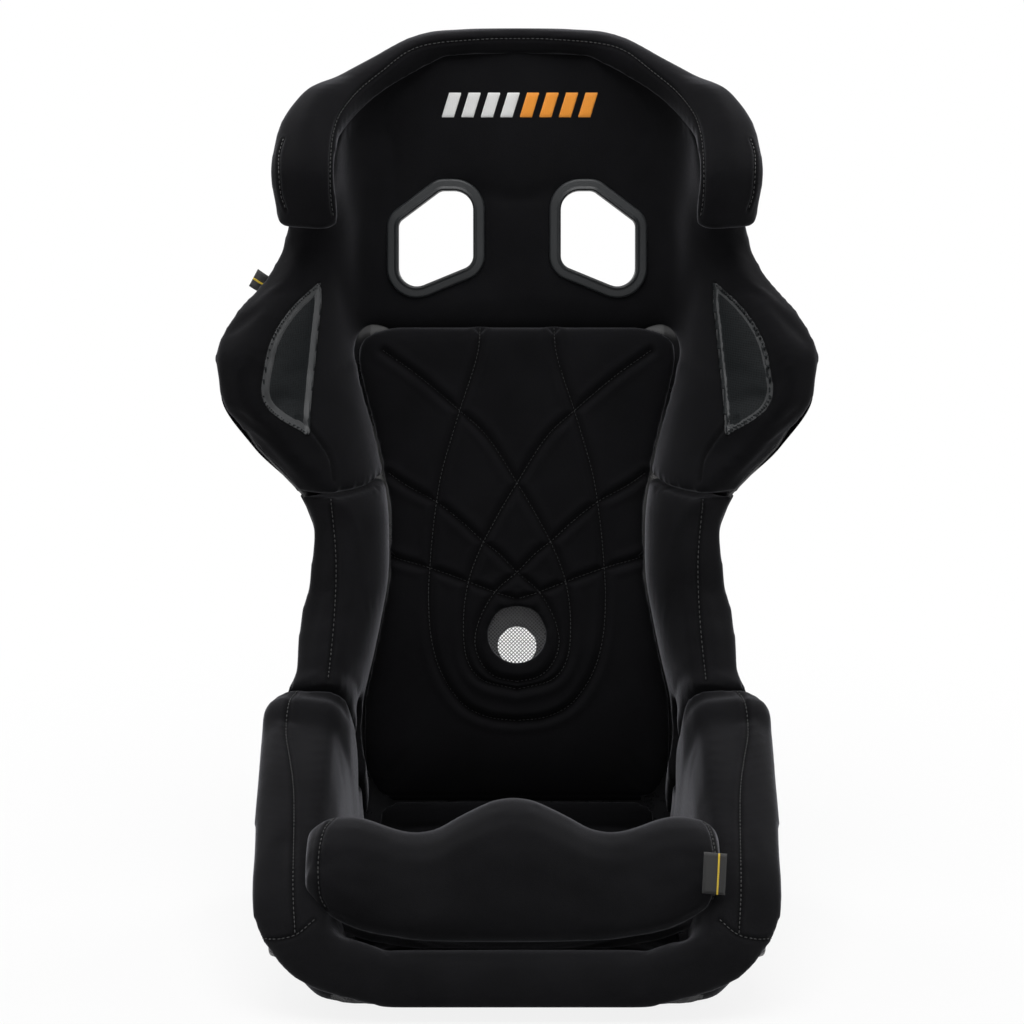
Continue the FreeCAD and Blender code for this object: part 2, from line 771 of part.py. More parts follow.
def swage(side):
    """Stiffening rib moulded up the back of the shell."""
    outlines = []
    half, rise = size("swage_width") / 2, size("swage_height")
    for place in (6.7, 7.1, 7.6, 8.0, 8.4, 8.9, 9.4, 9.75):
        s = Section(place)
        grow = rise if 6.9 < place < 9.6 else 0.4
        middle = side * size("swage_spacing") / 2
        profile = [(-half, 1.0), (-half, 0.0), (-half * 0.55, -grow), (half * 0.55, -grow), (half, 0.0), (half, 1.0)]
        outlines.append([s.point(middle + x, v) for x, v in profile])
    return skin(outlines)


def shell_shape():
    body = skin([shell_outline(p) for p in SECTION_PLACES])
    inside = inner_volume()
    for y, z in mount_points():
        pad = mount_pad(y, z).cut(inside)
        pad = max(pad.Solids, key=lambda solid: solid.CenterOfMass.x)
        body = body.fuse(pad).fuse(mirror_shape(pad))
    body = body.fuse([swage(1), swage(-1)])
    sleeve = size("bezel_sleeve_wall") + size("sleeve_clearance")
    cutters = [placed(prism(harness_wire(side, sleeve), -30, 30), harness_frame(side)) for side in (1, -1)]
    trim = size("trim_wall")
    cutters += [lap_prism(trim, 150, 300), lap_prism(trim, -300, -150)]
    cutters.append(crotch_prism(trim, -10, 20))
    cutters.append(placed(Part.makeCylinder(size("vent_hole_radius"), 40, Vector(0, 0, -20)), vent_frame()))
    radius = size("insert_radius") + size("insert_clearance")
    inner_end = size("mount_half_width") - size("insert_length") - BORE_BEHIND
    depth = size("insert_length") + 2 * BORE_BEHIND
    for y, z in mount_points():
        cutters.append(Part.makeCylinder(radius, depth, Vector(inner_end, y, z), Vector(1, 0, 0)))
        cutters.append(Part.makeCylinder(radius, depth, Vector(-inner_end, y, z), Vector(-1, 0, 0)))
    return body.cut(cutters)


# Quilting channels and the crescents of the shoulders

def flat_curve(points):
    """Smooth curve through points (across, height) in the front view, at y = 0."""
    curve = Part.BSplineCurve()
    curve.interpolate([Vector(x, 0, z) for x, z in points])
    return curve


CHANNEL_CHORD = 50.0


def channel_band(points, width):
    """Strip of the given width along a curve of the front view, pushed right through the cushion."""
    curve = flat_curve(points)
    count = max(6, int(curve.length() / CHANNEL_CHORD))
    first, last = curve.FirstParameter, curve.LastParameter
    sides = ([], [])
    for k in range(count + 1):
        parameter = first + (last - first) * k / count
        along = curve.tangent(parameter)[0]
        here = curve.value(parameter)
        off = Vector(-along.z, 0, along.x) * (width / 2)
        sides[0].append(here + off)
        sides[1].append(here - off)
    outline = sides[0] + sides[1][::-1]
    face = flat_face(outline)
    face.translate(Vector(0, 60, 0))
    return face.extrude(Vector(0, 200, 0))


QUILT_LINES = [
    # across and height in the front view, right half; each line also runs mirrored
    [(137, 545), (101, 520), (60, 486), (30, 458), (0, 412), (-20, 379), (-38, 345), (-50, 312), (-55, 275), (-52, 236),
     (-36, 213), (0, 203)],
    [(38, 566), (40, 545), (47, 520), (56, 494), (66, 462), (78, 420), (85, 376), (89, 335), (91, 296), (88, 254),
     (77, 218), (56, 188), (30, 174), (0, 170)],
    [(131, 420), (112, 408), (82, 392), (56, 372), (36, 354), (19, 341), (0, 322), (-19, 306), (-32, 288), (-41, 267),
     (-43, 248), (-36, 229), (-22, 216), (0, 211)],
    [(129, 336), (90, 326), (52, 313), (20, 301), (0, 295)],
]


def quilted(cushion, floor):
    """Cushion with its sewn channels, whose bottom is the surface of the given lower cushion."""
    width = size("channel_width")
    for line in QUILT_LINES:
        for side in (1, -1):
            points = [(side * x, z * RISE) for x, z in line]
            cushion = cushion.cut(channel_band(points, width).cut(floor))
    return cushion


def quilted_back_cushion():
    cushion = quilted(back_cushion(), back_cushion(size("channel_depth")))
    hole = placed(Part.makeCylinder(size("vent_radius"), 80, Vector(0, 0, 0)), vent_front_frame())
    cushion = cushion.cut(hole)
    return max(cushion.Solids, key=lambda solid: solid.Volume)


VENT_DROP = 12.0


def vent_front_frame():
    return surface_frame(place_at_height(height("vent_height") + VENT_DROP * RISE))


CRESCENT = [(201, 624), (217, 612), (230, 598), (245, 573), (254, 549), (257, 529), (256, 511), (248, 498), (232, 489),
            (220, 484), (213, 476), (211, 499), (210, 521), (208, 543), (205, 563), (201, 592), (198, 610)]
INSERT_DEPTH = 6.0
INSERT_PROUD = 1.5


def crescent_prism(inset):
    out = size("shoulder_half_width") - NOMINAL_SHOULDER
    points = [Vector(x + out, 40, z * RISE) for x, z in CRESCENT]
    wire = Part.makePolygon(points + [points[0]])
    if inset:
        wire = wire.makeOffset2D(-inset)
    return Part.Face(wire).extrude(Vector(0, 160, 0))


def shoulder_shapes(rows):
    """The shoulder pad with the pocket for its insert, and the insert."""
    floor = side_pad(rows, INSERT_DEPTH)
    pad = side_pad(rows).cut(crescent_prism(0).cut(floor))
    seat_face = side_pad(rows, INSERT_DEPTH - size("pad_gap"))
    insert = crescent_prism(0.6).common(side_pad(rows, INSERT_PROUD)).cut(seat_face)
    biggest = [max(shape.Solids, key=lambda solid: solid.Volume) for shape in (pad, insert)]
    return biggest


def shell_layer(places, low, high):
    """A stretch of the space between two distances from the shell's outer face."""
    outlines = []
    for place in places:
        s = Section(place)
        right = [s.point(*p) for p in [s.from_rim(0, low)] + corner_points(s, low)][::-1]
        back = [s.point(*p) for p in [s.from_rim(0, high)] + corner_points(s, high)]
        outlines.append(right + back)
    return skin(outlines)


def lap_trim():
    """Edge trim of the lap-belt slot: a sleeve with a lip on each side of the wall."""
    proud, fit, wall = 2.0, size("ring_fit"), size("shell_wall")
    places = [place for place in SECTION_PLACES if 3.0 <= place <= 7.1]
    hole = lap_prism(0, 140, 300)
    sleeve = lap_prism(size("trim_wall") - fit, 150, 300).cut(hole).common(shell_layer(places, -proud, wall + proud))
    flange = lap_prism(size("trim_lip"), 150, 300).cut(hole)
    outside = flange.common(shell_layer(places, -proud, -fit))
    inside = flange.common(shell_layer(places, wall + fit, wall + proud))
    trim = sleeve.fuse([outside, inside])
    return max(trim.Solids, key=lambda solid: solid.Volume)


NET_SIDES = 32


def net_face(radius, pitch, strand):
    """Flat net: a disc with diamond gaps."""
    turns = [2 * math.pi * k / NET_SIDES for k in range(NET_SIDES + 1)]
    wires = [Part.makePolygon([Vector(radius * math.cos(t), radius * math.sin(t), 0) for t in turns])]
    half = (pitch - strand) / math.sqrt(2)
    step = pitch * math.sqrt(2)
    count = int(radius / step) + 1
    for row in range(-2 * count, 2 * count + 1):
        for column in range(-count, count + 1):
            x = column * step + (step / 2 if row % 2 else 0.0)
            y = row * step / 2
            if math.hypot(x, y) + half < radius - 2.0:
                corners = [Vector(x + half, y, 0), Vector(x, y + half, 0), Vector(x - half, y, 0), Vector(x, y - half, 0)]
                wires.append(Part.makePolygon(corners + [corners[0]]))
    return Part.makeFace(wires, "Part::FaceMakerBullseye")


# Pieces made as bodies with sketches

def sketch_on_base(body, name, wires, height):
    """Sketch on the body's XY plane, lifted by an expression, with the lines and arcs of the wires."""
    base = [plane for plane in body.Origin.OriginFeatures if plane.Role == "XY_Plane"][0]
    sketch = body.newObject("Sketcher::SketchObject", name)
    sketch.AttachmentSupport = [(base, "")]
    sketch.MapMode = "FlatFace"
    sketch.setExpression("AttachmentOffset.Base.z", height)
    for wire in wires:
        for edge in wire.Edges:
            first, last = edge.Vertexes[0].Point, edge.Vertexes[-1].Point
            if isinstance(edge.Curve, Part.Line):
                sketch.addGeometry(Part.LineSegment(first, last), False)
            elif len(edge.Vertexes) == 1:
                sketch.addGeometry(Part.Circle(edge.Curve.Center, Vector(0, 0, 1), edge.Curve.Radius), False)
            else:
                middle = edge.valueAt((edge.FirstParameter + edge.LastParameter) / 2)
                sketch.addGeometry(Part.Arc(first, middle, last), False)
    return sketch


def padded(body, name, wires, height, length):
    sketch = sketch_on_base(body, name + "_sketch", wires, height)
    pad = body.newObject("PartDesign::Pad", name)
    pad.Profile = sketch
    pad.setExpression("Length", length)
    sketch.Visibility = False
    doc.recompute()
    return pad


def broken_edges(body, feature, z, amount):
    """Chamfer on the edges of the feature that lie at the height z."""
    names = []
    for number, edge in enumerate(feature.Shape.Edges, start=1):
        if all(abs(vertex.Point.z - z) < 1e-4 for vertex in edge.Vertexes):
            names.append("Edge%d" % number)
    chamfer = body.newObject("PartDesign::Chamfer", feature.Name + "_edge")
    chamfer.Base = (feature, names)
    chamfer.setExpression("Size", amount)
    doc.recompute()
    return chamfer


def harness_bezel(side, label):
    body = doc.addObject("PartDesign::Body", label)
    hole, sleeve = harness_wire(side), harness_wire(side, size("bezel_sleeve_wall"))
    rim = harness_wire(side, size("bezel_rim"))
    pad_top = "Sizes.shell_wall + Sizes.centre_pad_thickness + 2 * Sizes.pad_gap"
    padded(body, label + "_sleeve", [sleeve, hole], "-Sizes.ring_flange", "Sizes.ring_flange + " + pad_top)
    flange = padded(body, label + "_flange", [rim, hole], pad_top, "Sizes.bezel_flange")
    top = size("shell_wall") + size("centre_pad_thickness") + 2 * size("pad_gap") + size("bezel_flange")
    broken_edges(body, flange, top, "Sizes.bezel_round")
    body.Placement = harness_frame(side)
    return keep(body, label)


def harness_ring(side, label):
    body = doc.addObject("PartDesign::Body", label)
    fit = size("bezel_sleeve_wall") + size("ring_fit")
    inner, outer = harness_wire(side, fit), harness_wire(side, fit + size("ring_rim"))
    flange = padded(body, label + "_flange", [outer, inner], "-Sizes.ring_flange - Sizes.pad_gap", "Sizes.ring_flange")
    broken_edges(body, flange, -size("ring_flange") - size("pad_gap"), "Sizes.bezel_round")
    body.Placement = harness_frame(side)
    return keep(body, label)


def crotch_trim(label):
    body = doc.addObject("PartDesign::Body", label)
    fit = size("trim_wall") - size("ring_fit")
    padded(body, label + "_sleeve", [crotch_wire(fit), crotch_wire()], "Sizes.ring_fit", "Sizes.shell_wall + Sizes.ring_fit")
    padded(body, label + "_lip", [crotch_wire(size("trim_lip")), crotch_wire()], "Sizes.shell_wall + Sizes.ring_fit",
           "Sizes.trim_wall")
    body.Placement = Placement(Vector(0, size("crotch_slot_y"), 0), Rotation())
    return keep(body, label)


# Pieces made of primitives

def threaded_inserts(side, label):
    """Two threaded bushings in the mounting pads of one side."""
    bushes = []
    for number, (y, z) in enumerate(mount_points()):
        outer = doc.addObject("Part::Cylinder", "%s_body_%d" % (label, number))
        outer.setExpression("Radius", "Sizes.insert_radius")
        outer.setExpression("Height", "Sizes.insert_length")
        bore = doc.addObject("Part::Cylinder", "%s_bore_%d" % (label, number))
        bore.setExpression("Radius", "Sizes.thread_radius")
        bore.setExpression("Height", "Sizes.insert_length + 2")
        bore.Placement = Placement(Vector(0, 0, -1), Rotation())
        bush = doc.addObject("Part::Cut", "%s_bush_%d" % (label, number))
        bush.Base, bush.Tool = outer, bore
        turn = Rotation(Vector(0, 0, 1), Vector(side, 0, 0))
        inner_end = side * (size("mount_half_width") - size("insert_length"))
        bush.Placement = Placement(Vector(inner_end, y, z), turn)
        bushes.append(bush)
    group = doc.addObject("Part::Compound", label)
    group.Links = bushes
    return keep(group, label)


def strip(name, frame, length):
    box = doc.addObject("Part::Box", name)
    box.setExpression("Length", "Sizes.strip_width")
    box.setExpression("Width", length)
    box.setExpression("Height", "Sizes.strip_thickness")
    box.Placement = frame
    return box


def closure_strips(label):
    """Hook-and-loop strips between the shell and the loose cushions."""
    lift = size("shell_wall") + 1.5 * size("pad_gap")
    half, long, short = size("strip_width") / 2, size("back_strip"), size("seat_strip")
    links = []
    for side in (1, -1):
        back = surface_frame(place_at_height(height("back_strip_height")))
        back = back.multiply(Placement(Vector(side * 78 - half, -long / 2, lift), Rotation()))
        links.append(strip("back_strip_%d" % len(links), back, "Sizes.back_strip"))
        seat = Placement(Vector(side * 105 - half, -58 - short, lift), Rotation())
        links.append(strip("seat_strip_%d" % len(links), seat, "Sizes.seat_strip"))
    group = doc.addObject("Part::Compound", label)
    group.Links = links
    return keep(group, label)


# The seat

def build_seat():
    shaped("shell", shell_shape())
    hip_rows, rib_rows, shoulder_rows = (rows for label, rows in SIDE_PADS)
    slot_room = lap_prism(12, 100, 300)
    hip = side_pad(hip_rows).cut(slot_room)
    rib = side_pad(rib_rows).cut(slot_room)
    hip, rib = (max(shape.Solids, key=lambda solid: solid.Volume) for shape in (hip, rib))
    shoulder, insert = shoulder_shapes(shoulder_rows)
    trim = lap_trim()
    pairs = [("hip_pad", hip), ("rib_pad", rib), ("shoulder_pad", shoulder), ("shoulder_insert", insert),
             ("lap_slot_trim", trim)]
    for label, shape in pairs:
        shaped(label + "_right", shape)
        shaped(label + "_left", mirror_shape(shape))
    shaped("head_band", clear_of_head(head_band()))
    lining = head_lining().cut(head_band(0.6))
    gap = size("pad_gap")
    sleeve, rim = size("bezel_sleeve_wall") + gap, size("bezel_rim") + gap
    under_rim = size("shell_wall") + size("centre_pad_thickness") + gap
    for side in (1, -1):
        for outline, low in ((sleeve, -5), (rim, under_rim)):
            lining = lining.cut(placed(prism(harness_wire(side, outline), low, 60), harness_frame(side)))
    shaped("head_and_back_lining", max(lining.Solids, key=lambda solid: solid.Volume))
    shaped("nose_pad", nose_pad())
    shaped("back_cushion", quilted_back_cushion())
    seat = seat_cushion().cut(crotch_prism(size("trim_lip") + 2, 0, 60))
    shaped("seat_cushion", seat)
    thigh = clear_of_hips(thigh_pad(), hip)
    shaped("thigh_pad", thigh)
    net = net_face(size("vent_radius") - size("pad_gap"), size("net_pitch"), size("net_strand"))
    net = net.extrude(Vector(0, 0, size("mesh_thickness")))
    shaped("vent_net", placed(net, vent_front_frame().multiply(Placement(Vector(0, 0, size("net_height")), Rotation()))))
    thick = size("tag_thickness")
    thigh_tag = Part.makeBox(14, thick, 34, Vector(size("thigh_half_width") - 5, -289, 115)).cut(thigh)
    shaped("thigh_tag", max(thigh_tag.Solids, key=lambda solid: solid.Volume))
    tag_corner = Vector(-size("shoulder_half_width") + 20, 132, 613 * RISE)
    shoulder_tag = Part.makeBox(30, thick, 23, tag_corner).cut(mirror_shape(shoulder))
    shaped("shoulder_tag", min(shoulder_tag.Solids, key=lambda solid: solid.CenterOfMass.x))
    for side, name in ((1, "right"), (-1, "left")):
        harness_bezel(side, "harness_bezel_" + name)
        harness_ring(side, "harness_back_ring_" + name)
        threaded_inserts(side, "side_mount_inserts_" + name)
    crotch_trim("crotch_slot_trim")
    closure_strips("closure_strips")
    doc.recompute()


def settle():
    """Moves every piece alike, so that the whole seat is centred on the origin and stands on it."""
    box = FreeCAD.BoundBox()
    for obj in parts:
        box.add(obj.Shape.optimalBoundingBox(False, False))
    shift = Placement(Vector(-(box.XMin + box.XMax) / 2, -(box.YMin + box.YMax) / 2, -box.ZMin), Rotation())
    for obj in parts:
        obj.Placement = shift.multiply(obj.Placement)
    doc.recompute()
    return shift.Base


def export():
    os.makedirs("parts", exist_ok=True)
    for obj in doc.Objects:
        if "Invalid" in obj.State or "Error" in obj.State:
            raise RuntimeError("%s is %s" % (obj.Name, obj.State))
    for obj in parts:
        shape = obj.Shape
        if shape.isNull() or not shape.isValid() or not shape.Solids:
            raise RuntimeError("%s has no valid solid" % obj.Label)
        shape.exportStep("parts/%s.step" % obj.Label)


build_seat()
moved = settle()
export()
print("pieces %d, moved by %.3f %.3f %.3f" % (len(parts), moved.x, moved.y, moved.z))
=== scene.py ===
import json
import math

import bmesh
import bpy
import numpy as np
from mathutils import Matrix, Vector
from mathutils.bvhtree import BVHTree
from mathutils.kdtree import KDTree


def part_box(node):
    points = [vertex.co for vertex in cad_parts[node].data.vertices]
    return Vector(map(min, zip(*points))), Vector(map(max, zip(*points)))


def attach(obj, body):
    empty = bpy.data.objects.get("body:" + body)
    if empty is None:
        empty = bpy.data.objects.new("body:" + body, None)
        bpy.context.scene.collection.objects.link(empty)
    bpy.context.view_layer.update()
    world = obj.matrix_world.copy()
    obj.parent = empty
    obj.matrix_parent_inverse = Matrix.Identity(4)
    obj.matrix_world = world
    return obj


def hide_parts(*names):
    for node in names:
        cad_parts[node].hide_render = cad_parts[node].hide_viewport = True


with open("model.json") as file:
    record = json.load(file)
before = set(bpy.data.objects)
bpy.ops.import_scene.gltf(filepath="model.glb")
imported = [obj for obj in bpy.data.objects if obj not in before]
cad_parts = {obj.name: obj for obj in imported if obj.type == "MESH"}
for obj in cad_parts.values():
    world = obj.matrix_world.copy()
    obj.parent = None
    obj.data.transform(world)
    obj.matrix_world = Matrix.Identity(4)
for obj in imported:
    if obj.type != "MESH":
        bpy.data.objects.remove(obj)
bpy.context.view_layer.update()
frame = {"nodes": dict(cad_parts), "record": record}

# Racing bucket seat: the sewn covers, quilted cushions, trims and finishes round the fixed model.
# Forms are worked out in millimetres from the same stations as the construction, then scaled to metres.

MM = 0.001
PAN_FRONT = -322.0
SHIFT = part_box("shell")[0].y / MM - PAN_FRONT

# Sizes

WALL = 4.0
GAP = 0.3
BACK_GAP = 2.3
COVER = 3.0
HEM = 28.0
CENTRE_THICKNESS = 20.0
CUSHION_THICKNESS = 25.0
STRIP_THICKNESS = 2.2
CUSHION_UNDER = WALL + STRIP_THICKNESS + 2 * GAP
VENT_RADIUS = 30.0
VENT_HEIGHT = 252.0
NET_HEIGHT = 22.0
HARNESS_SPACING = 167.0
HARNESS_HEIGHT = 653.0
LAP_SLOT = (76.0, 156.0, 62.0)
LAP_HOLE = (48, 27)
SIDES = ((1, "right"), (-1, "left"))
THIGH_HALF = 193.0

# Stations along the seat, from the front lip of the pan to the top of the head. Each zone has its base half
# floor, half width, depth and foam, and then rows of place, y, z, tilt, what is added to the half floor, the
# corner's radius, and what is added to half width, depth and foam.
ZONES = [
    ((178, 245, 192, 56), [
        (0.00, -322, 18, 90, -28, 10, -80, -183, -26),
        (0.10, -317, 17, 90, -20, 16, -51, -166, -22),
        (0.25, -304, 15, 90, -13, 28, -23, -134, -16),
        (0.50, -278, 11, 90, -6, 36, -8, -100, -10),
        (1.00, -230, 5, 90, -2, 42, -2, -66, -6),
        (2.00, -150, 0, 90, 0, 46, 0, -27, -2),
        (3.00, -60, 0, 90, 0, 48, 0, 0, 0),
        (4.00, 22, 0, 76, -4, 50, -1, 22, 2),
        (4.60, 87, 1, 66, -12, 52, -5, 38, 0),
        (4.95, 110, 11, 62, -18, 54, -9, 36, -3),
        (5.30, 127, 31, 58, -26, 54, -15, 34, -6),
    ]),
    ((138, 203, 94, 40), [
        (6.00, 133, 137, 45, 5, 54, 17, 56, 4),
        (6.60, 143, 213, 30, 1, 52, 10, 18, 2),
        (7.10, 156, 272, 15, -2, 50, 4, 4, 0),
        (7.60, 167, 330, 0, -4, 50, 0, 0, 0),
        (8.00, 176, 375, 0, -4, 50, 0, 0, 0),
        (8.40, 184, 415, 0, -2, 52, 15, 8, 0),
    ]),
    ((138, 294, 148, 38), [
        (8.90, 193, 465, 0, 0, 56, -32, -24, 0),
        (9.40, 202, 520, 0, 2, 60, -1, -2, 0),
        (9.80, 209, 556, 0, 2, 60, 0, 0, 0),
        (10.2, 215.5, 595, 0, 2, 56, -22, -26, 0),
        (10.5, 221, 630, 0, 2, 50, -52, -64, 0),
        (10.8, 225.6, 660, 0, 0, 44, -64, -82, 0),
    ]),
    ((138, 240, 128, 60), [
        (11.0, 228.7, 680, 0, -2, 46, -11, -50, -14),
        (11.2, 231.8, 700, 0, -6, 52, -4, -6, -2),
        (11.6, 236, 735, 0, -12, 56, 0, 0, 0),
        (12.0, 240, 768, 0, -20, 54, -12, -36, -6),
        (12.3, 243, 792, 0, -30, 46, -34, -66, -14),
        (12.6, 246, 815, 0, -42, 34, -63, -90, -22),
        (12.8, 248, 833, 0, -54, 24, -93, -104, -27),
        (13.0, 250, 850, 0, -76, 16, -128, -114, -30),
        (13.2, 251, 865, 0, -96, 8, -162, -120, -32),
    ]),
]

# Half width of the back cushion along the seat.
CUSHION_OUTLINE = [
    (5.62, 140), (5.70, 152), (5.80, 157), (6.00, 159), (6.30, 157), (6.60, 150), (7.00, 141), (7.60, 131),
    (8.00, 131), (8.40, 136), (8.90, 147), (9.40, 161), (9.60, 164), (9.75, 161), (9.82, 155), (9.88, 143),
    (9.91, 128),
]

# Corners of a harness slot: across from its middle, up the back, and radius.
HARNESS_OUTLINE = [(38.5, 18, 10), (-5, 50.5, 12), (-38.5, 50.5, 20), (-38.5, -25.5, 14), (38.5, -57, 19)]

# Side pads: place, half width that the pad reaches, edge height, rise, bulge, and extra thickness outside the
# shell.
HIP_ROWS = [
    (0.30, 158, 24, 11, 3, 12), (0.50, 164, 24, 11, 3, 9), (1.0, 166, 24, 11, 3, 3), (2.0, 166, 24, 12, 3, 3),
    (3.0, 166, 24, 13, 4, 5), (4.0, 164, 24, 15, 4, 6), (4.6, 160, 24, 17, 4, 7), (4.95, 158, 24, 17, 4, 8),
    (5.20, 158, 25, 15, 4, 7), (5.38, 160, 26, 9, 4, 5),
]
RIB_ROWS = [
    (5.50, 0, 22, 5, 3, 0), (5.70, 0, 22, 7, 4, 0), (6.06, 0, 22, 8, 4, 0), (6.2, 0, 22, 9, 6, 1),
    (6.6, 0, 22, 10, 8, 5), (7.1, 0, 22, 10, 8, 8), (7.6, 0, 22, 9, 9, 4), (8.0, 0, 22, 7, 9, 0),
    (8.38, 0, 22, 4, 9, 0),
]
SHOULDER_ROWS = [
    (8.42, 0, 22, 4, 9, 0), (8.9, 0, 22, -3, 9, -1), (9.4, 0, 22, 6, 9, 0), (9.8, 0, 22, 11, 8, 2),
    (10.2, 160, 20, 17, 7, 6), (10.5, 160, 20, 14, 6, 4), (10.8, 160, 20, 10, 6, 2),
    (11.04, 160, 20, 8, 6, 0),
]

# What the band of the head adds to its rise along the seat.
HEAD_RISE = [
    (11.0, 0), (11.6, 4), (11.8, 9), (12.0, 14), (12.3, 17), (12.6, 4.5), (12.8, 3), (13.0, 5), (13.2, 0),
]

# Seat base cushion: place, half width and what is added to its thickness.
SEAT_PLACES = [
    (0.64, 150, -7), (0.70, 156, -1), (1.0, 159, 0), (2.0, 161, 0), (3.0, 161, 0), (4.0, 158, 0),
    (4.6, 154, 0), (4.95, 150, 0), (5.30, 146, 0), (5.52, 140, -3), (5.56, 132, -8),
]

# The photograph's camera
ELEVATION = math.radians(12.0)
DISTANCE = 3600.0
FOCAL = 3646.76
AIM_HEIGHT = 413.5
CENTRE_COLUMN = 517.0
IMAGE = 1024.0
MIDDLE_ROW = IMAGE / 2


# Curves

def smooth_curve(points):
    """A function through the points that never overshoots them."""
    places = [p[0] for p in points]
    values = [p[1] for p in points]
    count = len(points)
    slope = [(values[i + 1] - values[i]) / (places[i + 1] - places[i]) for i in range(count - 1)]
    slopes = [slope[0]] + [0.0] * (count - 2) + [slope[-1]]
    for i in range(1, count - 1):
        if slope[i - 1] * slope[i] > 0:
            before, after = places[i] - places[i - 1], places[i + 1] - places[i]
            first, second = 2 * after + before, after + 2 * before
            slopes[i] = (first + second) / (first / slope[i - 1] + second / slope[i])

    def value(place):
        i = 0
        while i < count - 2 and place > places[i + 1]:
            i += 1
        step = places[i + 1] - places[i]
        t = (place - places[i]) / step
        return ((2 * t ** 3 - 3 * t ** 2 + 1) * values[i] + (t ** 3 - 2 * t ** 2 + t) * step * slopes[i]
                + (3 * t ** 2 - 2 * t ** 3) * values[i + 1] + (t ** 3 - t ** 2) * step * slopes[i + 1])
    return value


def station_curves():
    names = ("y", "z", "tilt", "floor", "corner", "width", "depth", "foam")
    columns = dict((name, []) for name in names)
    for (floor, width, depth, foam), rows in ZONES:
        for place, y, z, tilt, add_floor, corner, *added in rows:
            rim = [base + extra for base, extra in zip((width, depth, foam), added)]
            for name, value in zip(names, [y, z, tilt, floor + add_floor, corner] + rim):
                columns[name].append((place, value))
    return dict((name, smooth_curve(points)) for name, points in columns.items())


def row_curves(rows):
    """A smooth curve along the first column of the rows for each of their other columns."""
    return [smooth_curve([(row[0], row[k]) for row in rows]) for k in range(1, len(rows[0]))]


CURVES = station_curves()
cushion_half = smooth_curve(CUSHION_OUTLINE)


class Section:
    """The shell's outline in the plane across the seat at one place, in (across, up from the outer floor)."""

    def __init__(self, place):
        for name, curve in CURVES.items():
            setattr(self, name, curve(place))
        across, up = self.width - self.floor, self.depth - self.corner
        self.angle = math.atan2(up, across) - math.acos(self.corner / math.hypot(across, up))
        self.inward = (-math.cos(self.angle), -math.sin(self.angle))
        foot = self.on_corner(self.angle, 0.0)
        length = math.hypot(self.width - foot[0], self.depth - foot[1])
        self.down = ((foot[0] - self.width) / length, (foot[1] - self.depth) / length)

    def on_corner(self, angle, offset):
        radius = self.corner - offset
        return (self.floor + radius * math.cos(angle), self.corner + radius * math.sin(angle))

    def from_rim(self, down, inward):
        return (self.width + self.down[0] * down + self.inward[0] * inward,
                self.depth + self.down[1] * down + self.inward[1] * inward)

    def point(self, across, up):
        tilt = math.radians(self.tilt)
        return Vector((across, self.y - up * math.cos(tilt) + SHIFT, self.z + up * math.sin(tilt)))

    def direction(self, across, up):
        tilt = math.radians(self.tilt)
        return Vector((across, -up * math.cos(tilt), up * math.sin(tilt)))

    def corner_at(self, across, offset):
        reach = (across - self.floor) / (self.corner - offset)
        if reach <= 0:
            return -math.pi / 2
        return max(-math.pi / 2, min(self.angle - 0.02, -math.acos(min(0.999, reach))))


def between(first, last, count):
    return [first + (last - first) * k / (count - 1) for k in range(count)]


def place_at_height(z):
    low, high = 6.0, 13.2
    for _ in range(40):
        middle = (low + high) / 2
        low, high = (middle, high) if CURVES["z"](middle) < z else (low, middle)
    return (low + high) / 2


def mirrored(points):
    return [Vector((-p.x, p.y, p.z)) for p in points]


def swelling(a, b, push, count):
    return [a + (b - a) * (k / count) + push * (4 * (k / count) * (1 - k / count)) for k in range(1, count)]


CAP_FULLNESS = 0.65


def cap(a, b, rise, count):
    middle, half = (a + b) * 0.5, (b - a) * 0.5
    result = []
    for k in range(1, count):
        turn = math.pi * k / count
        across = math.copysign(abs(math.cos(turn)) ** CAP_FULLNESS, math.cos(turn))
        result.append(middle - half * across + rise * math.sin(turn) ** CAP_FULLNESS)
    return result


# Meshes

def new_object(name, data):
    piece = bpy.data.objects.new(name, data)
    bpy.context.scene.collection.objects.link(piece)
    return piece


def piece_from(name, points, faces):
    mesh = bpy.data.meshes.new(name)
    mesh.from_pydata([tuple(p) for p in points], [], faces)
    mesh.update()
    return new_object(name, mesh)


def grid_faces(rows, columns, ring=False, loop=False, base=0):
    """Faces between points in rows: ring closes each row on itself, loop joins the last row to the first."""
    faces = []
    for row in range(rows if loop else rows - 1):
        here, below = base + row * columns, base + (row + 1) % rows * columns
        for i in range(columns if ring else columns - 1):
            after = (i + 1) % columns
            faces.append([here + i, here + after, below + after, below + i])
    return faces


def skin(outlines):
    """Points and faces of a closed form through outlines with the same number of points."""
    count = len(outlines[0])
    points = [p for outline in outlines for p in outline]
    ends = [list(range(count))[::-1], [len(points) - count + k for k in range(count)]]
    return points, ends + grid_faces(len(outlines), count, ring=True)


def outward_normals(mesh):
    """Turns all faces outward, and splits those with more than four corners."""
    bm = bmesh.new()
    bm.from_mesh(mesh)
    bmesh.ops.recalc_face_normals(bm, faces=bm.faces)
    bmesh.ops.triangulate(bm, faces=[f for f in bm.faces if len(f.verts) > 4])
    bm.to_mesh(mesh)
    bm.free()


def solid_object(name, forms):
    """One mesh object, in metres, of several closed forms, with all normals outward."""
    points, faces = [], []
    for form_points, form_faces in forms:
        base = len(points)
        points += [p * MM for p in form_points]
        faces += [[base + i for i in face] for face in form_faces]
    piece = piece_from(name, points, faces)
    outward_normals(piece.data)
    return piece


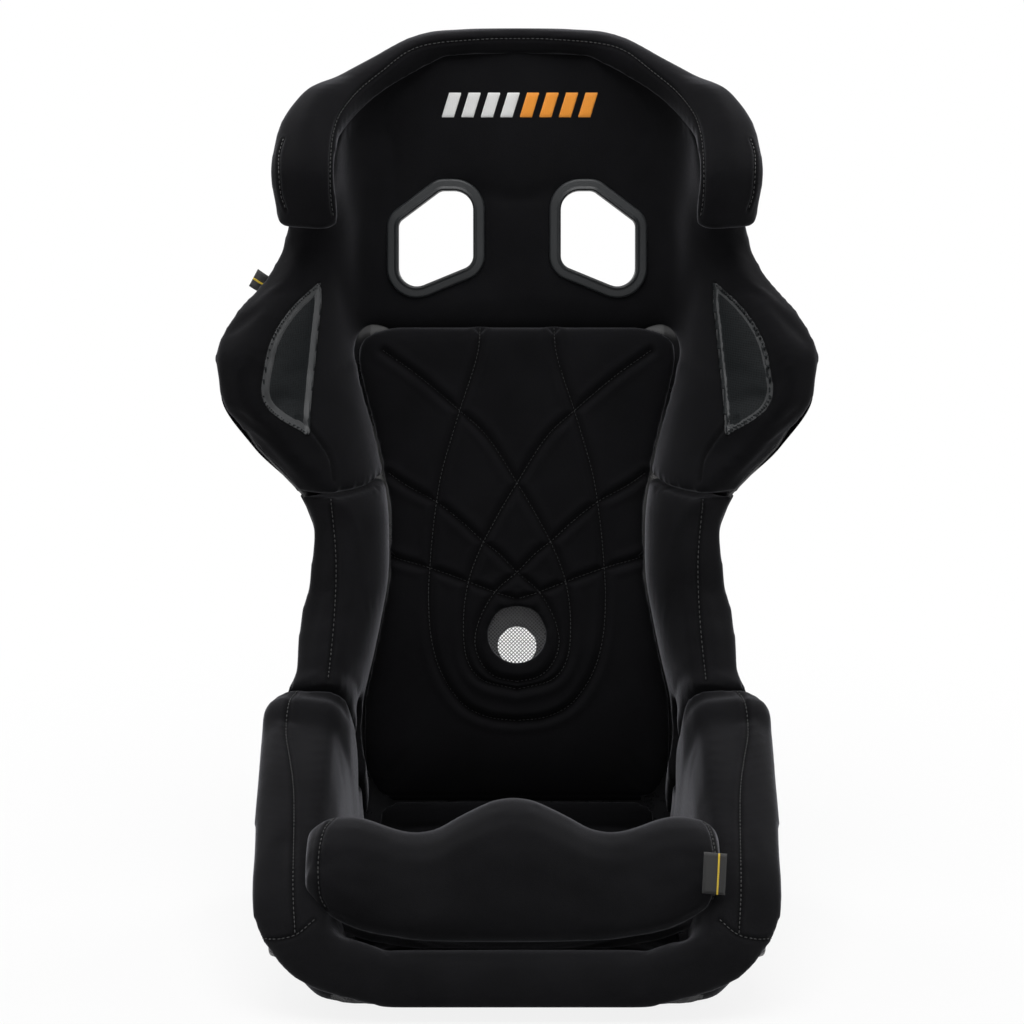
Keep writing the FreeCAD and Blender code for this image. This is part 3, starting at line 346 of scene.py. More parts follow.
def applied(piece):
    """Replaces the mesh of a piece by what its modifiers make of it."""
    graph = bpy.context.evaluated_depsgraph_get()
    mesh = bpy.data.meshes.new_from_object(piece.evaluated_get(graph))
    old = piece.data
    piece.modifiers.clear()
    piece.data = mesh
    bpy.data.meshes.remove(old)


def modified(piece, kind, **settings):
    """Gives a piece one modifier and replaces its mesh by what comes out."""
    modifier = piece.modifiers.new(kind, kind)
    for name, value in settings.items():
        setattr(modifier, name, value)
    applied(piece)


def remeshed(piece, voxel):
    modified(piece, "REMESH", mode="VOXEL", voxel_size=voxel)


def subdivided(piece, levels=1):
    modified(piece, "SUBSURF", levels=levels, render_levels=levels)


def thickened(piece, thickness, offset=-1.0):
    modified(piece, "SOLIDIFY", thickness=thickness, offset=offset)


def joined(piece, cutters, voxel):
    """Joins the forms of a piece into one skin and cuts openings through it."""
    remeshed(piece, voxel)
    for cutter in cutters:
        modified(piece, "BOOLEAN", operation="DIFFERENCE", solver="EXACT", object=cutter)
        bpy.data.objects.remove(cutter)
    if cutters:
        remeshed(piece, voxel)


def vertex_vectors(piece, attribute):
    flat = np.zeros(len(piece.data.vertices) * 3)
    piece.data.vertices.foreach_get(attribute, flat)
    return flat.reshape(-1, 3)


def coordinates(piece):
    return vertex_vectors(piece, "co")


def normals(piece):
    return vertex_vectors(piece, "normal")


def set_coordinates(piece, points):
    piece.data.vertices.foreach_set("co", np.ascontiguousarray(points, dtype=np.float32).ravel())
    piece.data.update()


def neighbours(piece):
    """A function that gives the middle of each vertex's neighbours."""
    edges = np.zeros(len(piece.data.edges) * 2, np.int64)
    piece.data.edges.foreach_get("vertices", edges)
    first, second = edges.reshape(-1, 2).T
    count = len(piece.data.vertices)
    degree = np.bincount(first, minlength=count) + np.bincount(second, minlength=count)
    degree = np.maximum(degree, 1)[:, None]

    def middles(points):
        sums = [np.bincount(first, points[second, k], count) + np.bincount(second, points[first, k], count)
                for k in range(3)]
        return np.stack(sums, -1) / degree
    return middles


def smoothed(piece, rounds):
    """Evens the mesh out without shrinking it: each round draws in and lets out again."""
    points, middles = coordinates(piece), neighbours(piece)
    for _ in range(rounds):
        for share in (0.5, -0.52):
            points = points + (middles(points) - points) * share
    set_coordinates(piece, points)


def relaxed(piece, rounds, weight):
    """Draws each vertex towards the middle of its neighbours, by one share or a share per vertex."""
    points, middles = coordinates(piece), neighbours(piece)
    share = 0.5 * np.reshape(weight, (-1, 1))
    for _ in range(rounds):
        points = points + (middles(points) - points) * share
    set_coordinates(piece, points)


def surface_of(piece):
    mesh = piece.data
    return BVHTree.FromPolygons([v.co for v in mesh.vertices], [p.vertices for p in mesh.polygons])


def smoothstep(low, high, value):
    t = np.clip((value - low) / (high - low), 0, 1)
    return t * t * (3 - 2 * t)


SHELL_SURFACE = surface_of(frame["nodes"]["shell"])


def distance_to(surface, points, limit):
    result = np.full(len(points), limit)
    for i, p in enumerate(points):
        found = surface.find_nearest(Vector(p), limit)
        if found[0] is not None:
            result[i] = found[3]
    return result


# Seams are drawn on the photograph and cast from its camera onto the piece

CAMERA_BACK = DISTANCE * math.cos(ELEVATION)
CAMERA_PLACE = Vector((0, -CAMERA_BACK + SHIFT, AIM_HEIGHT + DISTANCE * math.sin(ELEVATION))) * MM


def pixel_direction(column, row):
    across, up = (column - CENTRE_COLUMN) / FOCAL, (MIDDLE_ROW - row) / FOCAL
    cosine, sine = math.cos(ELEVATION), math.sin(ELEVATION)
    return Vector((across, cosine + up * sine, -sine + up * cosine)).normalized()


def pixel_line(pixels, step=1.0):
    """Smooth line through pixels, as many more pixels about a step apart."""
    points = [Vector(p) for p in pixels]
    padded_points = [points[0] * 2 - points[1]] + points + [points[-1] * 2 - points[-2]]
    result = []
    for i in range(1, len(padded_points) - 2):
        a, b, c, d = padded_points[i - 1:i + 3]
        count = max(1, int((c - b).length / step))
        for k in range(count):
            t = k / count
            result.append(0.5 * ((2 * b) + (c - a) * t + (2 * a - 5 * b + 4 * c - d) * t ** 2
                                 + (3 * b - a - 3 * c + d) * t ** 3))
    return result + [points[-1]]


def flipped(pixels):
    return [(2 * CENTRE_COLUMN - column, row) for column, row in pixels]


def cast_pixels(surface, pixels):
    """Where the camera's lines through pixels meet a surface, with its normals there."""
    hits = []
    for column, row in pixels:
        place, normal, _, _ = surface.ray_cast(CAMERA_PLACE, pixel_direction(column, row))
        if place is not None:
            hits.append((place, normal))
    return hits


JUMP = 0.02


def fill_points(places, step=0.0007):
    """The places with more between them, so that no two are further apart than a step, except at a jump."""
    if not places:
        return []
    result = []
    for a, b in zip(places, places[1:]):
        length = (b - a).length
        count = 1 if length > JUMP else max(1, int(length / step))
        result += [a + (b - a) * (k / count) for k in range(count)]
    return result + [places[-1]]


def line_distance(points, lines, limit):
    """Distance of each point from the nearest of the lines, up to a limit."""
    places = [p for line in lines for p in fill_points([place for place, _ in line])]
    tree = KDTree(len(places))
    for i, p in enumerate(places):
        tree.insert(p, i)
    tree.balance()
    result = np.full(len(points), limit)
    low = np.min([tuple(p) for p in places], 0) - limit
    high = np.max([tuple(p) for p in places], 0) + limit
    near = np.nonzero(np.all((points > low) & (points < high), 1))[0]
    for i in near:
        result[i] = min(limit, tree.find(points[i])[2])
    return result


def carve(piece, lines, depth, width, pillow=0.25):
    """Sinks a seam along lines and raises the cloth beside it. Returns each vertex's distance from it."""
    if not any(lines):
        return np.full(len(piece.data.vertices), 1.0)
    points = coordinates(piece)
    distance = line_distance(points, lines, width * 5)
    groove = np.exp(-(distance / width) ** 2)
    ridge = np.exp(-((distance - 2.4 * width) / (1.2 * width)) ** 2) * (distance < width * 4.9)
    push = -depth * groove + depth * pillow * ridge
    set_coordinates(piece, points + normals(piece) * push[:, None])
    return distance


def sewn(piece, lines, depth, width, turns=(list, flipped)):
    """Carves seams along lines of pixels and their mirror images. Returns them and distances from them."""
    surface = surface_of(piece)
    seams = [cast_pixels(surface, pixel_line(turn(line))) for turn in turns for line in lines]
    return seams, carve(piece, seams, depth, width)


SEAM_RANGE = 20.0


def mark_seams(piece, distance):
    """Keeps the distance from the seams with the mesh, in millimetres, for the painted shade that darkens the
    cloth's colour near them.
    """
    attribute = piece.data.attributes.new("seam", "FLOAT", "POINT")
    attribute.data.foreach_set("value", np.minimum(distance / MM, SEAM_RANGE).astype(np.float32))


# Cloth

CLOTH_FRAMES = 20
PRESSURE = 4.0
VOXEL = 0.005
FINE_VOXEL = 0.8 * VOXEL
CALM = 0.6


def inflate(piece, held, pressure, cap_height):
    """Swells a closed mesh as cloth under pressure. held is a share per vertex, 1 where it can't move."""
    start = coordinates(piece)
    group = piece.vertex_groups.new(name="held")
    levels = np.round(held * 10).astype(int)
    for level in range(1, 11):
        group.add(np.nonzero(levels == level)[0].tolist(), level / 10, "REPLACE")
    cloth = piece.modifiers.new("Cloth", "CLOTH")
    settings = cloth.settings
    settings.quality = 4
    settings.mass = 0.3
    settings.tension_stiffness = settings.compression_stiffness = 15
    settings.shear_stiffness = 5
    settings.bending_stiffness = 0.5
    settings.use_pressure = True
    settings.uniform_pressure_force = pressure
    settings.effector_weights.gravity = 0
    settings.vertex_group_mass = "held"
    cloth.collision_settings.use_collision = False
    cloth.collision_settings.use_self_collision = False
    cloth.point_cache.frame_start, cloth.point_cache.frame_end = 1, CLOTH_FRAMES
    scene = bpy.context.scene
    for number in range(1, CLOTH_FRAMES + 1):
        scene.frame_set(number)
    graph = bpy.context.evaluated_depsgraph_get()
    flat = np.zeros(len(start) * 3)
    piece.evaluated_get(graph).data.vertices.foreach_get("co", flat)
    piece.modifiers.clear()
    piece.vertex_groups.clear()
    scene.frame_set(1)
    moved = flat.reshape(-1, 3) - start
    length = np.maximum(np.linalg.norm(moved, axis=1), 1e-9)
    limit = cap_height * np.tanh(length / cap_height) / length
    set_coordinates(piece, start + moved * (limit * (1 - held))[:, None])


def held_by_shell(piece, clear=0.004, free=0.016):
    """Share by which the shell holds each vertex: 1 up to a clear distance and 0 from where it is free."""
    return 1 - smoothstep(clear, free, distance_to(SHELL_SURFACE, coordinates(piece), free))


def cloth_piece(name, forms, cutters=(), voxel=VOXEL, rounds=6, held=held_by_shell, pressure=PRESSURE,
                height=0.004, calm=0):
    """Joins forms into one skin, opens it, swells it as cloth and rounds it off."""
    piece = solid_object(name, forms)
    joined(piece, cutters, voxel)
    smoothed(piece, rounds)
    inflate(piece, held(piece), pressure, height)
    relaxed(piece, calm, CALM)
    subdivided(piece)
    return piece


# Covers on the rim of the shell

FACE_CHORDS, CAP_CHORDS, CORNER_CHORDS = 10, 20, 8
STATION_STEP = 0.05


def stations(first, last):
    count = max(2, int(round((last - first) / STATION_STEP)))
    return [first + (last - first) * k / count for k in range(count + 1)]


def bulk_outline(at, shell_side, inner_end, foam, rise, bulge, outer=0.0):
    """Foam and cover inside the rim and over it, without the hem behind the shell."""
    out, inward = at(-1, 0) - at(0, 0), at(0, 1) - at(0, 0)
    edge_in = at(foam * 0.18, WALL + foam)
    below = foam * 0.12
    edge_out = at(below, -GAP - COVER - outer)
    foot = [at(below + 1.5 * outer, -GAP - 0.5 * (COVER + outer)), at(below + 1.6 * outer, -GAP)]
    face = swelling(inner_end, edge_in, inward * bulge, FACE_CHORDS)
    top = cap(edge_in, edge_out, out * (rise + foam * 0.18), CAP_CHORDS)
    wall = [at(-GAP, -GAP), at(-GAP, WALL + GAP)] + shell_side
    return wall + [inner_end] + face + [edge_in] + top + [edge_out] + foot


def over_shell(at, down, outward):
    """The point that stands off the shell's outside by the given distance, at a place of the frame."""
    direction = (at(0, -1) - at(0, 0)).normalized()
    place, _, _, _ = SHELL_SURFACE.ray_cast(at(down, -40) * MM, -direction, 65 * MM)
    if place is None or down < 1:
        return at(down, -outward)
    return place / MM + direction * outward


def hem_outline(at):
    """Cloth turned over the rim and down the outside of the shell: distance down and thickness."""
    outer = GAP + COVER
    spots = [(-2, GAP), (HEM - 1.2, GAP), (HEM, GAP + COVER * 0.5), (HEM - 1.2, outer + 0.2),
             (HEM * 0.75, outer + 0.5), (HEM * 0.5, outer + 0.8), (HEM * 0.28, outer + 0.5), (3, outer - 0.3),
             (-2, outer - 2.1)]
    return [over_shell(at, down, outward) for down, outward in spots]


def section_at(place):
    s = Section(place)
    return s, (lambda down, inward: s.point(*s.from_rim(down, inward)))


def side_forms(rows, reaches_cushion, thicker=0.0):
    """Bulk and hem of the right side pad along its places."""
    columns = row_curves(rows)
    bulks, hems = [], []
    for place in stations(rows[0][0], rows[-1][0]):
        reach, edge, rise, bulge, outer = (column(place) for column in columns)
        s, at = section_at(place)
        if reaches_cushion:
            reach = max(cushion_half(max(5.7, min(place, 9.75))) + 1.5, reach)
        last = s.corner_at(reach, WALL + BACK_GAP)
        turns = between(s.angle, last, CORNER_CHORDS + 1)
        shell_side = [s.point(*s.on_corner(a, WALL + BACK_GAP)) for a in turns]
        inner_end = s.point(reach, WALL + edge)
        bulks.append(bulk_outline(at, shell_side, inner_end, s.foam + thicker, rise, bulge, outer))
        hems.append(hem_outline(at))
    return bulks, hems


def rounded_end(outline, push, shares=((0.3, 0.95), (0.65, 0.84), (0.9, 0.68), (1.0, 0.5))):
    """Outlines that draw an end in over the length of the vector push, as a dome."""
    centre = sum(outline, Vector()) / len(outline)
    return [[centre + (p - centre) * share + push * along for p in outline] for along, share in shares]


def both_sides(outlines):
    return [skin(outlines), skin([mirrored(outline) for outline in outlines])]


def rim_frame(place, upright):
    s = Section(place)
    low, high = Section(max(0.0, place - 0.03)), Section(min(13.2, place + 0.03))
    here = s.point(s.width, s.depth)
    along = (high.point(high.width, high.depth) - low.point(low.width, low.depth)).normalized()
    plane = Vector((0, math.sin(math.radians(s.tilt)), math.cos(math.radians(s.tilt))))
    along = (plane * upright + along * (1 - upright)).normalized()
    inward = s.direction(*s.inward)
    inward = (inward - along * inward.dot(along)).normalized()
    down = along.cross(inward)
    if down.dot(s.direction(*s.down)) < 0:
        down = -down
    return here, down, inward


def band_at(here, down, inward):
    return lambda u, v: here + down * u + inward * v


def band_bulk(at, reach, foam, rise, bulge, lift=0.0, outer=0.0):
    shell_side = [at(reach * k / 5.0, WALL + BACK_GAP + lift * k / 5.0) for k in range(1, 6)]
    return bulk_outline(at, shell_side, at(reach, WALL + foam * 0.82), foam, rise, bulge, outer)


HEAD_REACH = 20.0
# How the band of the head ends below the ear: shares of the way down and of the size, and the way down.
EAR_FOOT = ((0.3, 0.995), (0.55, 0.98), (0.75, 0.95), (0.9, 0.9), (0.97, 0.84), (1.0, 0.76))
EAR_DROP = Vector((0, 1, -16))
head_rise = smooth_curve(HEAD_RISE)


def head_frames(start):
    """Frames of the right half of the head's rim, from a start to the middle, with foam and rise."""
    rows = []
    for place in stations(start, 13.16):
        upright = max(0.0, min(1.0, 12.6 - place))
        foam = Section(place).foam
        rise = 4.0 + 8.0 * max(0.0, min(1.0, (foam - 28) / 25.0)) + head_rise(place)
        rows.append((band_at(*rim_frame(place, upright)), foam, rise))
    s = Section(13.2)
    for across in (46, 34, 23, 11, 0):
        here = s.point(across, 0) + Vector((0, -6 * across / 46.0, 0))
        rows.append((band_at(here, Vector((0, 0, -1)), Vector((0, -1, 0))), s.foam, 3.5))
    return rows


def head_forms():
    """Band round the ears and the top of the head, and its hem."""
    right = [band_bulk(at, HEAD_REACH, foam, rise, 0.0) for at, foam, rise in head_frames(11.2)]
    right = rounded_end(right[0], EAR_DROP, EAR_FOOT)[::-1] + right
    hems = [hem_outline(at) for at, foam, rise in head_frames(11.03)]
    return [skin(rows + [mirrored(o) for o in rows[-2::-1]]) for rows in (right, hems)]


LINING_START, LINING_HALF = 9.80, 166
LIP_DROP, LIP_LENGTH = 16.0, 0.28


def lining_outline(place, from_rim):
    """The middle panel and its lining at a place, up to the rim of the head or to under the shoulder pads."""
    s = Section(place)
    if from_rim:
        start_face = s.from_rim(HEAD_REACH - 4, WALL + s.foam * 0.80)
        back = [s.from_rim(HEAD_REACH - 4, WALL + BACK_GAP)]
        back += [s.on_corner(a, WALL + BACK_GAP) for a in between(s.angle, -math.pi / 2, 9)]
        knee = (start_face[0] - 4, WALL + CENTRE_THICKNESS)
    else:
        last = s.corner_at(LINING_HALF, WALL + BACK_GAP)
        back = [s.on_corner(a, WALL + BACK_GAP) for a in between(last, -math.pi / 2, 9)]
        back = [(LINING_HALF, back[0][1] + 2)] + back
        thick = CENTRE_THICKNESS - LIP_DROP * max(0.0, 1 - (place - LINING_START) / LIP_LENGTH)
        start_face = (LINING_HALF, WALL + thick)
        knee = (150.0, WALL + thick)
    flat = (min(knee[0] - 6, max(s.floor - 12, 20)), knee[1])

    def on_face(i, t):
        return start_face[i] * (1 - t) ** 2 + 2 * knee[i] * t * (1 - t) + flat[i] * t * t
    face = [(on_face(0, k / 12.0), on_face(1, k / 12.0)) for k in range(1, 12)]
    right = [s.point(*p) for p in [flat] + face[::-1] + [start_face] + back]
    return right + mirrored(right)[::-1]


def lining_forms():
    low = [lining_outline(place, False) for place in stations(LINING_START, 11.0)]
    high = [lining_outline(place, True) for place in stations(11.05, 13.12)]
    return [skin(low), skin(high)]


def rounded_corners(corners, chords=6, grow=0.0):
    result = []
    for i, (x, y, radius) in enumerate(corners):
        here = Vector((x, y))
        a = (Vector(corners[i - 1][:2]) - here).normalized()
        b = (Vector(corners[(i + 1) % len(corners)][:2]) - here).normalized()
        half = math.acos(max(-1, min(1, a.dot(b)))) / 2
        reach = radius / math.tan(half)
        centre = here + (a + b).normalized() * (radius / math.sin(half))
        first, last = here + a * reach - centre, here + b * reach - centre
        turn = first.angle_signed(last)
        first = first * ((radius + grow) / radius)
        for k in range(chords + 1):
            angle = -turn * k / chords
            result.append(centre + Vector((first.x * math.cos(angle) - first.y * math.sin(angle),
                                           first.x * math.sin(angle) + first.y * math.cos(angle))))
    return result


def back_placement(height):
    """Point on the shell's outer back at a height, and directions up the back and out of its front."""
    place = place_at_height(height)
    s, above, below = Section(place), Section(place + 0.02), Section(place - 0.02)
    up = Vector((0, above.y - below.y, above.z - below.z)).normalized()
    return s.point(0, 0), up, Vector((0, -up.z, up.y))


def on_back(placement, x, y, height):
    """A point by its place across and up the back and its height over the shell's outer back."""
    origin, up, front = placement
    return origin + Vector((x, 0, 0)) + up * y + front * height


def slot_outline(side, chords=6, grow=0.0):
    return rounded_corners([(side * x, y, radius) for x, y, radius in HARNESS_OUTLINE], chords, grow)


def on_slot(side, outline, height):
    placement = back_placement(HARNESS_HEIGHT)
    return [on_back(placement, side * HARNESS_SPACING / 2 + p.x, p.y, height) for p in outline]


SLOT_ROOM = 2.5


def harness_cutter(side):
    outline = slot_outline(side)
    centre = sum(outline, Vector((0, 0))) / len(outline)
    outline = [p + (p - centre).normalized() * SLOT_ROOM for p in outline]
    return solid_object("cutter", [skin([on_slot(side, outline, height) for height in (-40.0, 60.0)])])


def vent_cutter():
    placement = back_placement(VENT_HEIGHT)
    turns = [2 * math.pi * k / 64 for k in range(64)]
    circle = [(VENT_RADIUS * math.cos(t), VENT_RADIUS * math.sin(t)) for t in turns]
    rows = [[on_back(placement, x, y, height) for x, y in circle] for height in (0, 60)]
    return solid_object("cutter", [skin(rows)])


def lap_cutter(side):
    y, z, angle = LAP_SLOT
    along = Vector((0, math.cos(math.radians(angle)), math.sin(math.radians(angle))))
    across = Vector((0, -along.z, along.y))
    centre = Vector((0, y + SHIFT, z))
    length, width = LAP_HOLE
    corners = [(-length, -width), (length, -width), (length, width), (-length, width)]
    outline = rounded_corners([(a, b, width * 0.98) for a, b in corners])
    rows = []
    for x in (100.0, 300.0):
        rows.append([centre + along * p.x + across * p.y + Vector((side * x, 0, 0)) for p in outline])
    return solid_object("cutter", [skin(rows)])


# Seams of the covers, in pixels of the photograph, left side

INNER_EAR_SEAM = [(333, 214), (331, 200), (330, 176), (331, 150), (334, 130), (341, 112), (358, 91),
                  (382, 71), (409, 51), (437, 43), (487, 39), (517, 38.5)]
EAR_SEAM = [(283, 140), (279, 155), (279, 175), (281, 195), (286, 210)]
CREASE = [(300, 418), (309, 427), (322, 444), (331, 460), (334, 480)]
RIDGE_SEAM = [(297, 691), (289, 703), (286, 732), (290, 760), (293, 783), (294, 813), (293, 889), (295, 933)]
MITRE_SEAM = [(258, 938), (278, 939), (297, 934), (314, 920)]
RIB_SEAM = [(331, 500), (336, 560), (334, 620), (328, 680)]
THIGH_END_SEAM = [(334, 818), (325, 828), (320, 845), (318, 870), (320, 895), (326, 908)]
CRESCENT = [(319, 283), (297, 303), (281, 323), (270, 345), (264, 372), (262, 393), (268, 408), (282, 420),
            (300, 430), (308, 434), (309, 415), (311, 390), (314, 360), (317, 330), (320, 302), (319, 283)]

# Sewn channels of the back cushion: across and height in millimetres, one of each mirrored pair
QUILT_LINES = [
    [(137, 545), (101, 520), (60, 486), (30, 458), (0, 412), (-20, 379), (-38, 345), (-50, 312), (-55, 275),
     (-52, 236), (-36, 213), (0, 203)],
    [(38, 566), (40, 545), (47, 520), (56, 494), (66, 462), (78, 420), (85, 376), (89, 335), (91, 296),
     (88, 254), (77, 218), (56, 188), (30, 174), (0, 170)],
    [(131, 420), (112, 408), (82, 392), (56, 372), (36, 354), (19, 341), (0, 322), (-19, 306), (-32, 288),
     (-41, 267), (-43, 248), (-36, 229), (-22, 216), (0, 211)],
    [(129, 336), (90, 326), (52, 313), (20, 301), (0, 295)],
]

# The tags' corners in pixels, and where the thigh tag is sewn on
SHOULDER_TAG = [(249, 286), (258, 269), (270, 277), (261, 293)]
THIGH_TAG = [(704, 852), (727, 854), (725, 895), (702, 893)]
THIGH_TAG_SEWN = (703, 872)


# Finishes

def node_material(name):
    """A new material: itself, its nodes, its shader and the object's own coordinates."""
    material = bpy.data.materials.new(name)
    material.use_nodes = True
    tree = material.node_tree
    where = tree.nodes.new("ShaderNodeTexCoord").outputs["Object"]
    return material, tree, tree.nodes["Principled BSDF"], where


def set_inputs(node, values):
    for name, value in values.items():
        node.inputs[name].default_value = value


def add_node(tree, kind, **values):
    node = tree.nodes.new(kind)
    for name, value in values.items():
        if name in node.inputs:
            node.inputs[name].default_value = value
        else:
            setattr(node, name, value)
    return node


def noise(tree, where, scale, detail=3.0, roughness=0.55):
    node = add_node(tree, "ShaderNodeTexNoise", Scale=scale, Detail=detail, Roughness=roughness)
    tree.links.new(where, node.inputs["Vector"])
    return node.outputs["Fac"]


def math_node(tree, operation, first, second):
    node = add_node(tree, "ShaderNodeMath", operation=operation)
    for socket, value in zip(node.inputs, (first, second)):
        if isinstance(value, float):
            socket.default_value = value
        else:
            tree.links.new(value, socket)
    return node.outputs[0]


def ramp(tree, value, low, low_colour, high, high_colour):
    """Colours that run from one to another between two values; a number stands for a grey."""
    node = tree.nodes.new("ShaderNodeValToRGB")
    for element, place, colour in zip(node.color_ramp.elements, (low, high), (low_colour, high_colour)):
        element.position = place
        element.color = (colour,) * 3 + (1.0,) if isinstance(colour, float) else (*colour, 1.0)
    tree.links.new(value, node.inputs[0])
    return node


def driven(tree, shader, socket, value, *stops):
    """Sets a socket of the shader by a ramp over a value."""
    tree.links.new(ramp(tree, value, *stops).outputs[0], shader.inputs[socket])


def bumped(tree, shader, height, strength, distance, base=None):
    bump = add_node(tree, "ShaderNodeBump", Strength=strength, Distance=distance)
    tree.links.new(height, bump.inputs["Height"])
    if base is not None:
        tree.links.new(base, bump.inputs["Normal"])
    tree.links.new(bump.outputs[0], shader.inputs["Normal"])


def velour(name, dark, light, sheen=0.42):
    """Short-pile knit: fine nap and brushed patches, with painted shade that darkens its colour in and beside
    the seams.
    """
    material, tree, shader, where = node_material(name)
    patches = noise(tree, where, 14.0, 3.0)
    nap = noise(tree, where, 900.0, 2.0, 0.7)
    speck = noise(tree, where, 2600.0, 1.0, 0.5)
    mixed = math_node(tree, "ADD", math_node(tree, "MULTIPLY", patches, 0.55),
                      math_node(tree, "MULTIPLY", nap, 0.45))
    colour = ramp(tree, mixed, 0.3, dark, 0.7, light)
    # Painted shade: the colour is multiplied darker near the seams, by the distance from them kept with the
    # mesh.
    seam = add_node(tree, "ShaderNodeAttribute", attribute_name="seam").outputs["Fac"]
    painted_seam_shade = ramp(tree, math_node(tree, "DIVIDE", seam, SEAM_RANGE), 0.0, 0.35, 0.22, 1.0)
    painted_seam_shade_middle = painted_seam_shade.color_ramp.elements.new(0.06)
    painted_seam_shade_middle.color = (0.6, 0.6, 0.6, 1.0)
    mix = add_node(tree, "ShaderNodeMix", data_type="RGBA", blend_type="MULTIPLY")
    mix.inputs[0].default_value = 1.0
    tree.links.new(colour.outputs[0], mix.inputs[6])
    tree.links.new(painted_seam_shade.outputs[0], mix.inputs[7])
    tree.links.new(mix.outputs[2], shader.inputs["Base Color"])
    set_inputs(shader, {"Roughness": 0.92, "Specular IOR Level": 0.08, "Sheen Weight": sheen,
                        "Sheen Roughness": 0.3, "Sheen Tint": (0.55, 0.55, 0.6, 1.0)})
    bumped(tree, shader, math_node(tree, "ADD", nap, math_node(tree, "MULTIPLY", speck, 0.5)), 0.45, 0.0004)
    return material


def plastic(name, colour, roughness, grain_scale, grain):
    """Moulding with a fine grain and a slightly cloudy colour and gloss."""
    material, tree, shader, where = node_material(name)
    darker = tuple(c * 0.85 for c in colour)
    driven(tree, shader, "Base Color", noise(tree, where, 30.0), 0.35, darker, 0.65, colour)
    driven(tree, shader, "Roughness", noise(tree, where, 120.0), 0.3, roughness - 0.06, 0.7, roughness + 0.06)
    set_inputs(shader, {"Specular IOR Level": 0.25})
    bumped(tree, shader, noise(tree, where, grain_scale, 2.0), grain, 0.0003)
    return material


def gelcoat(name):
    """Black gel coat on glass fibre: cloth shows faintly through, with fine scuffs."""
    material, tree, shader, where = node_material(name)
    fibre = add_node(tree, "ShaderNodeTexVoronoi", Scale=260.0, feature="F1")
    tree.links.new(where, fibre.inputs["Vector"])
    cloud = noise(tree, where, 9.0, 4.0)
    value = math_node(tree, "ADD", math_node(tree, "MULTIPLY", fibre.outputs["Distance"], 0.35), cloud)
    driven(tree, shader, "Base Color", value, 0.4, (0.009, 0.009, 0.010), 0.85, (0.016, 0.016, 0.018))
    driven(tree, shader, "Roughness", noise(tree, where, 55.0, 6.0, 0.75), 0.35, 0.24, 0.75, 0.42)
    set_inputs(shader, {"Coat Weight": 0.25, "Coat Roughness": 0.18})
    rounding = add_node(tree, "ShaderNodeBevel", samples=6, Radius=0.012)
    bumped(tree, shader, noise(tree, where, 170.0, 2.0), 0.12, 0.0006, rounding.outputs[0])
    return material


def steel(name):
    material, tree, shader, where = node_material(name)
    cloud = noise(tree, where, 200.0)
    driven(tree, shader, "Base Color", cloud, 0.3, (0.5, 0.5, 0.48), 0.7, (0.62, 0.61, 0.58))
    driven(tree, shader, "Roughness", noise(tree, where, 420.0), 0.3, 0.28, 0.7, 0.45)
    set_inputs(shader, {"Metallic": 1.0})
    return material


def open_mesh(name):
    """Spacer mesh of the shoulder inserts: rows of small holes in a shiny knit."""
    material, tree, shader, where = node_material(name)
    holes = add_node(tree, "ShaderNodeTexVoronoi", Scale=420.0, feature="F1", Randomness=0.15)
    tree.links.new(where, holes.inputs["Vector"])
    value = holes.outputs["Distance"]
    driven(tree, shader, "Base Color", value, 0.28, (0.0008, 0.0011, 0.0014), 0.5, (0.007, 0.0086, 0.0096))
    set_inputs(shader, {"Roughness": 0.55, "Specular IOR Level": 0.16})
    bumped(tree, shader, value, 0.6, 0.0006)
    return material


def tape(name, colour, ribs):
    """Ribbed weave or thread."""
    material, tree, shader, where = node_material(name)
    wave = add_node(tree, "ShaderNodeTexWave", Scale=ribs, Distortion=1.0)
    tree.links.new(where, wave.inputs["Vector"])
    driven(tree, shader, "Base Color", wave.outputs["Fac"], 0.2, tuple(c * 0.6 for c in colour), 0.8, colour)
    set_inputs(shader, {"Roughness": 0.5, "Sheen Weight": 0.15})
    bumped(tree, shader, wave.outputs["Fac"], 0.3, 0.0003)
    return material


FINISH = {
    "velour": velour("velour", (0.0017, 0.0017, 0.0021), (0.0056, 0.0056, 0.0065)),
    # Lighter copy of the velour for the hip, rib and thigh pads: partly a different nap, partly painted light
    # where these pads catch more light than the middle panels.
    "pad_velour_nap_and_painted_light": velour("pad_velour_nap_and_painted_light", (0.0024, 0.0024, 0.0028), (0.0082, 0.0082, 0.0093), 0.5),
    "shell_composite": gelcoat("gelcoat"),
    "trim_plastic": plastic("moulded_plastic", (0.017, 0.0185, 0.020), 0.38, 1500.0, 0.3),
    "trim_rubber": plastic("rubber_trim", (0.014, 0.014, 0.015), 0.62, 900.0, 0.3),
    "insert_steel": steel("zinc_steel"),
    "insert_mesh": open_mesh("spacer_mesh"),
    "vent_mesh": plastic("net_thread", (0.11, 0.11, 0.115), 0.5, 2400.0, 0.4),
    "hook_and_loop": tape("hook_and_loop", (0.02, 0.02, 0.02), 900.0),
    "tag_cloth": tape("tag_weave", (0.006, 0.006, 0.006), 1800.0),
    "bias_tape": tape("bias_tape", (0.024, 0.026, 0.028), 700.0),
    "dark_thread": tape("dark_thread", (0.012, 0.012, 0.013), 2500.0),
    "thread": tape("sewing_thread", (0.016, 0.016, 0.017), 2500.0),
    "white_thread": tape("white_embroidery", (0.85, 0.85, 0.84), 1400.0),
    "orange_thread": tape("orange_embroidery", (0.95, 0.33, 0.02), 1400.0),
    "yellow_thread": tape("yellow_edge", (0.8, 0.55, 0.03), 1400.0),
}
NODE_SLOTS = dict((row["node"], row["material_slot"]) for row in frame["record"]["subparts"])


